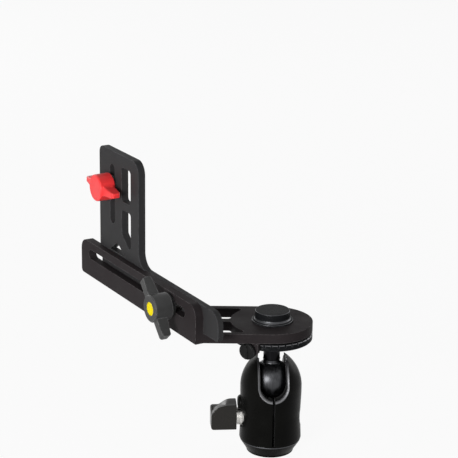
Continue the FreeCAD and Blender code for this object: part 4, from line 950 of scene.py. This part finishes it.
def make_clamp_knob():
    """The rail clamp's knob: a hub with two flat wings, their edges crisp. It is drawn with its inner
    face at 0 and its wings upright, then turned and moved along X to its place."""
    low, high, middle = low_mm("clamp_knob"), high_mm("clamp_knob"), middle_mm("clamp_knob")
    length, rim = high.x - low.x, CLAMP_EDGE
    profile = [(0, -length + CAP_DEPTH), (CAP_RADIUS, -length + CAP_DEPTH), (CAP_RADIUS, -length),
               (CLAMP_HUB - rim, -length), (CLAMP_HUB, -length + rim), (CLAMP_HUB, -CLAMP_COLLAR_LENGTH),
               (CLAMP_COLLAR, -CLAMP_COLLAR_LENGTH), (CLAMP_COLLAR, 0), (0, 0)]
    piece = turned("clamp_knob_moulded", KNOB_BLACK, profile, axis_place((0, 0, 0), (1, 0, 0)), around=96)
    tip, tip_round = CLAMP_SPAN / 2, WING_TIP_ROUND
    wings = plate_of("clamp_wings", KNOB_BLACK, CLAMP_WING_WIDTH,
                     [(WING_TIP_OUTER, -tip, tip_round), (WING_TIP_INNER, -tip, tip_round),
                      (WING_ROOT_INNER, 0, 0), (WING_TIP_INNER, tip, tip_round),
                      (WING_TIP_OUTER, tip, tip_round), (WING_ROOT_OUTER, 0, 0)])
    join_pieces(piece, wings)
    soften(smooth(piece, 25), 0.35, 2, crisp=True)
    piece.data.transform(Matrix.Translation(Vector((high.x, middle.y, middle.z)) * MM)
                         @ Matrix.Rotation(-CLAMP_WING_TURN, 4, "X"))
    return finish_piece(piece, "clamp_knob")


CAMERA_WING_TURN, CAMERA_WING_ROOT = radians(86), 8.5
CAMERA_TAPER_ACROSS, CAMERA_TAPER_ALONG = 0.4, 0.15   # what the wings' tips lose of their size
CAMERA_SKIN = 0.3   # size of the voxels


def thin_wings(piece, low, high):
    """Narrow a knob's wings towards their tips, across and along the knob's axis."""
    middle = (low + high) / 2
    direction = Vector((0, sin(CAMERA_WING_TURN), cos(CAMERA_WING_TURN)))
    side = Vector((1, 0, 0)).cross(direction)
    root = CAMERA_WING_ROOT * MM
    reach = max(abs((v.co - middle).dot(direction)) for v in piece.data.vertices)
    for vertex in piece.data.vertices:
        from_middle = vertex.co - middle
        share = max(abs(from_middle.dot(direction)) - root, 0) / (reach - root)
        vertex.co -= side * from_middle.dot(side) * CAMERA_TAPER_ACROSS * share
        vertex.co.x -= from_middle.x * CAMERA_TAPER_ALONG * share


def make_camera_knob():
    """The camera screw's knob: its hub and tapered wings run into each other in soft rounds."""
    piece = cad_copy("camera_knob", "camera_knob_moulded", KNOB_RED, flat=False)
    thin_wings(piece, *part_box("camera_knob"))
    modify(piece, "REMESH", mode="VOXEL", voxel_size=CAMERA_SKIN * MM)
    modify(piece, "SMOOTH", factor=0.5, iterations=3)
    piece.data.shade_smooth()
    return finish_piece(piece, "camera_knob")


# ------------ studio

BACKDROP = (1.0, 1.0, 1.0, 1)
FLOOR_COLOUR = (0.82, 0.82, 0.82, 1)
FLOOR_WHITE = 0.93   # share of the floor's look that is plain backdrop
FILL, FILL_COLOUR = 0.10, (0.97, 0.98, 1.0, 1)
TARGET = Vector((-0.02, 0.04, 0.09))   # where the lamps look

# name, azimuth from -Y to +X, elevation, distance and width in metres, power in watts
LAMPS = [
    ("key_lamp", -56, 11, 1.45, 0.62, 19),
    ("top_lamp", -100, 62, 1.6, 0.9, 0.7),
    ("side_lamp", 95, 18, 1.7, 1.0, 6.5),
    ("back_lamp", 185, 18, 1.7, 1.0, 6.5),
]


def white_to_lens(tree, share):
    """How much of the plain backdrop colour a ray sees: all that the lens, gloss and glass see."""
    ray = add_node(tree, "ShaderNodeLightPath")
    either = add_node(tree, "ShaderNodeMath", operation="MAXIMUM")
    any_ray = add_node(tree, "ShaderNodeMath", operation="MAXIMUM")
    part = add_node(tree, "ShaderNodeMath", {1: share}, operation="MULTIPLY")
    wire(tree, (ray, "Is Camera Ray", either, 0), (ray, "Is Glossy Ray", either, 1),
         (either, "Value", any_ray, 0), (ray, "Is Transmission Ray", any_ray, 1),
         (any_ray, "Value", part, 0))
    return part


def make_floor():
    """A pale floor: to the lens it is nearly all plain backdrop, and the rest keeps the shadow."""
    bpy.ops.mesh.primitive_plane_add(size=6)
    floor = bpy.context.object
    floor.name = "studio_floor"
    material, tree, surface = new_material("studio_floor")
    set_inputs(surface, {"Base Color": FLOOR_COLOUR, "Roughness": 0.9, "Specular IOR Level": 0.0})
    glow = add_node(tree, "ShaderNodeEmission", {"Color": BACKDROP})
    mix = add_node(tree, "ShaderNodeMixShader")
    wire(tree, (white_to_lens(tree, FLOOR_WHITE), "Value", mix, "Fac"), (surface, "BSDF", mix, 1),
         (glow, "Emission", mix, 2), (mix, "Shader", tree.nodes["Material Output"], "Surface"))
    floor.data.materials.append(material)


def make_world():
    """A weak, even fill, and the plain backdrop behind the object."""
    world = bpy.data.worlds.new("studio")
    bpy.context.scene.world = world
    world.use_nodes = True
    tree = world.node_tree
    tree.nodes.clear()
    out = add_node(tree, "ShaderNodeOutputWorld")
    fill = add_node(tree, "ShaderNodeBackground", {"Color": FILL_COLOUR, "Strength": FILL})
    backdrop = add_node(tree, "ShaderNodeBackground", {"Color": BACKDROP})
    pick = add_node(tree, "ShaderNodeMixShader")
    wire(tree, (white_to_lens(tree, 1.0), "Value", pick, "Fac"), (fill, "Background", pick, 1),
         (backdrop, "Background", pick, 2), (pick, "Shader", out, "Surface"))


def make_lamp(name, azimuth, elevation, distance, width, power):
    a, e = radians(azimuth), radians(elevation)
    place = Vector((sin(a) * cos(e), -cos(a) * cos(e), sin(e))) * distance + TARGET
    lamp = set_all(bpy.data.lights.new(name, "AREA"), {"shape": "DISK", "size": width, "energy": power})
    holder = new_object(name, lamp)
    holder.location = place
    holder.rotation_mode = "QUATERNION"
    holder.rotation_quaternion = (TARGET - place).to_track_quat("-Z", "Y")


# The camera: its place, its turns about Z, its right and its view, and its lens
CAMERA_PLACE = Vector((-516.47, -823.25, 447.88)) * MM
CAMERA_AZIMUTH = radians(-30.48)
CAMERA_ELEVATION = radians(17.336)
CAMERA_ROLL = radians(0.748)
CAMERA_LENS, CAMERA_SENSOR = 131.75, 36


def make_camera():
    lens = bpy.data.cameras.new("camera")
    lens.lens = CAMERA_LENS
    lens.sensor_width = CAMERA_SENSOR
    lens.clip_start, lens.clip_end = 0.05, 20
    camera = new_object("camera", lens)
    camera.matrix_world = (
        Matrix.Translation(CAMERA_PLACE) @ Matrix.Rotation(CAMERA_AZIMUTH, 4, "Z")
        @ Matrix.Rotation(pi / 2 - CAMERA_ELEVATION, 4, "X") @ Matrix.Rotation(CAMERA_ROLL, 4, "Z"))
    bpy.context.scene.camera = camera


make_floor()
make_world()
for row in LAMPS:
    make_lamp(*row)
make_camera()

make_housing()
make_ball()
make_base_plate()
make_lock_knob()
make_lock_screw()
make_top_knob()
make_pan_lock_knob()
make_base_screws()
make_plain_pieces()
make_index_disc()
make_camera_screw()
make_clamp_knob()
make_camera_knob()

bpy.context.scene.view_settings.view_transform = "Standard"
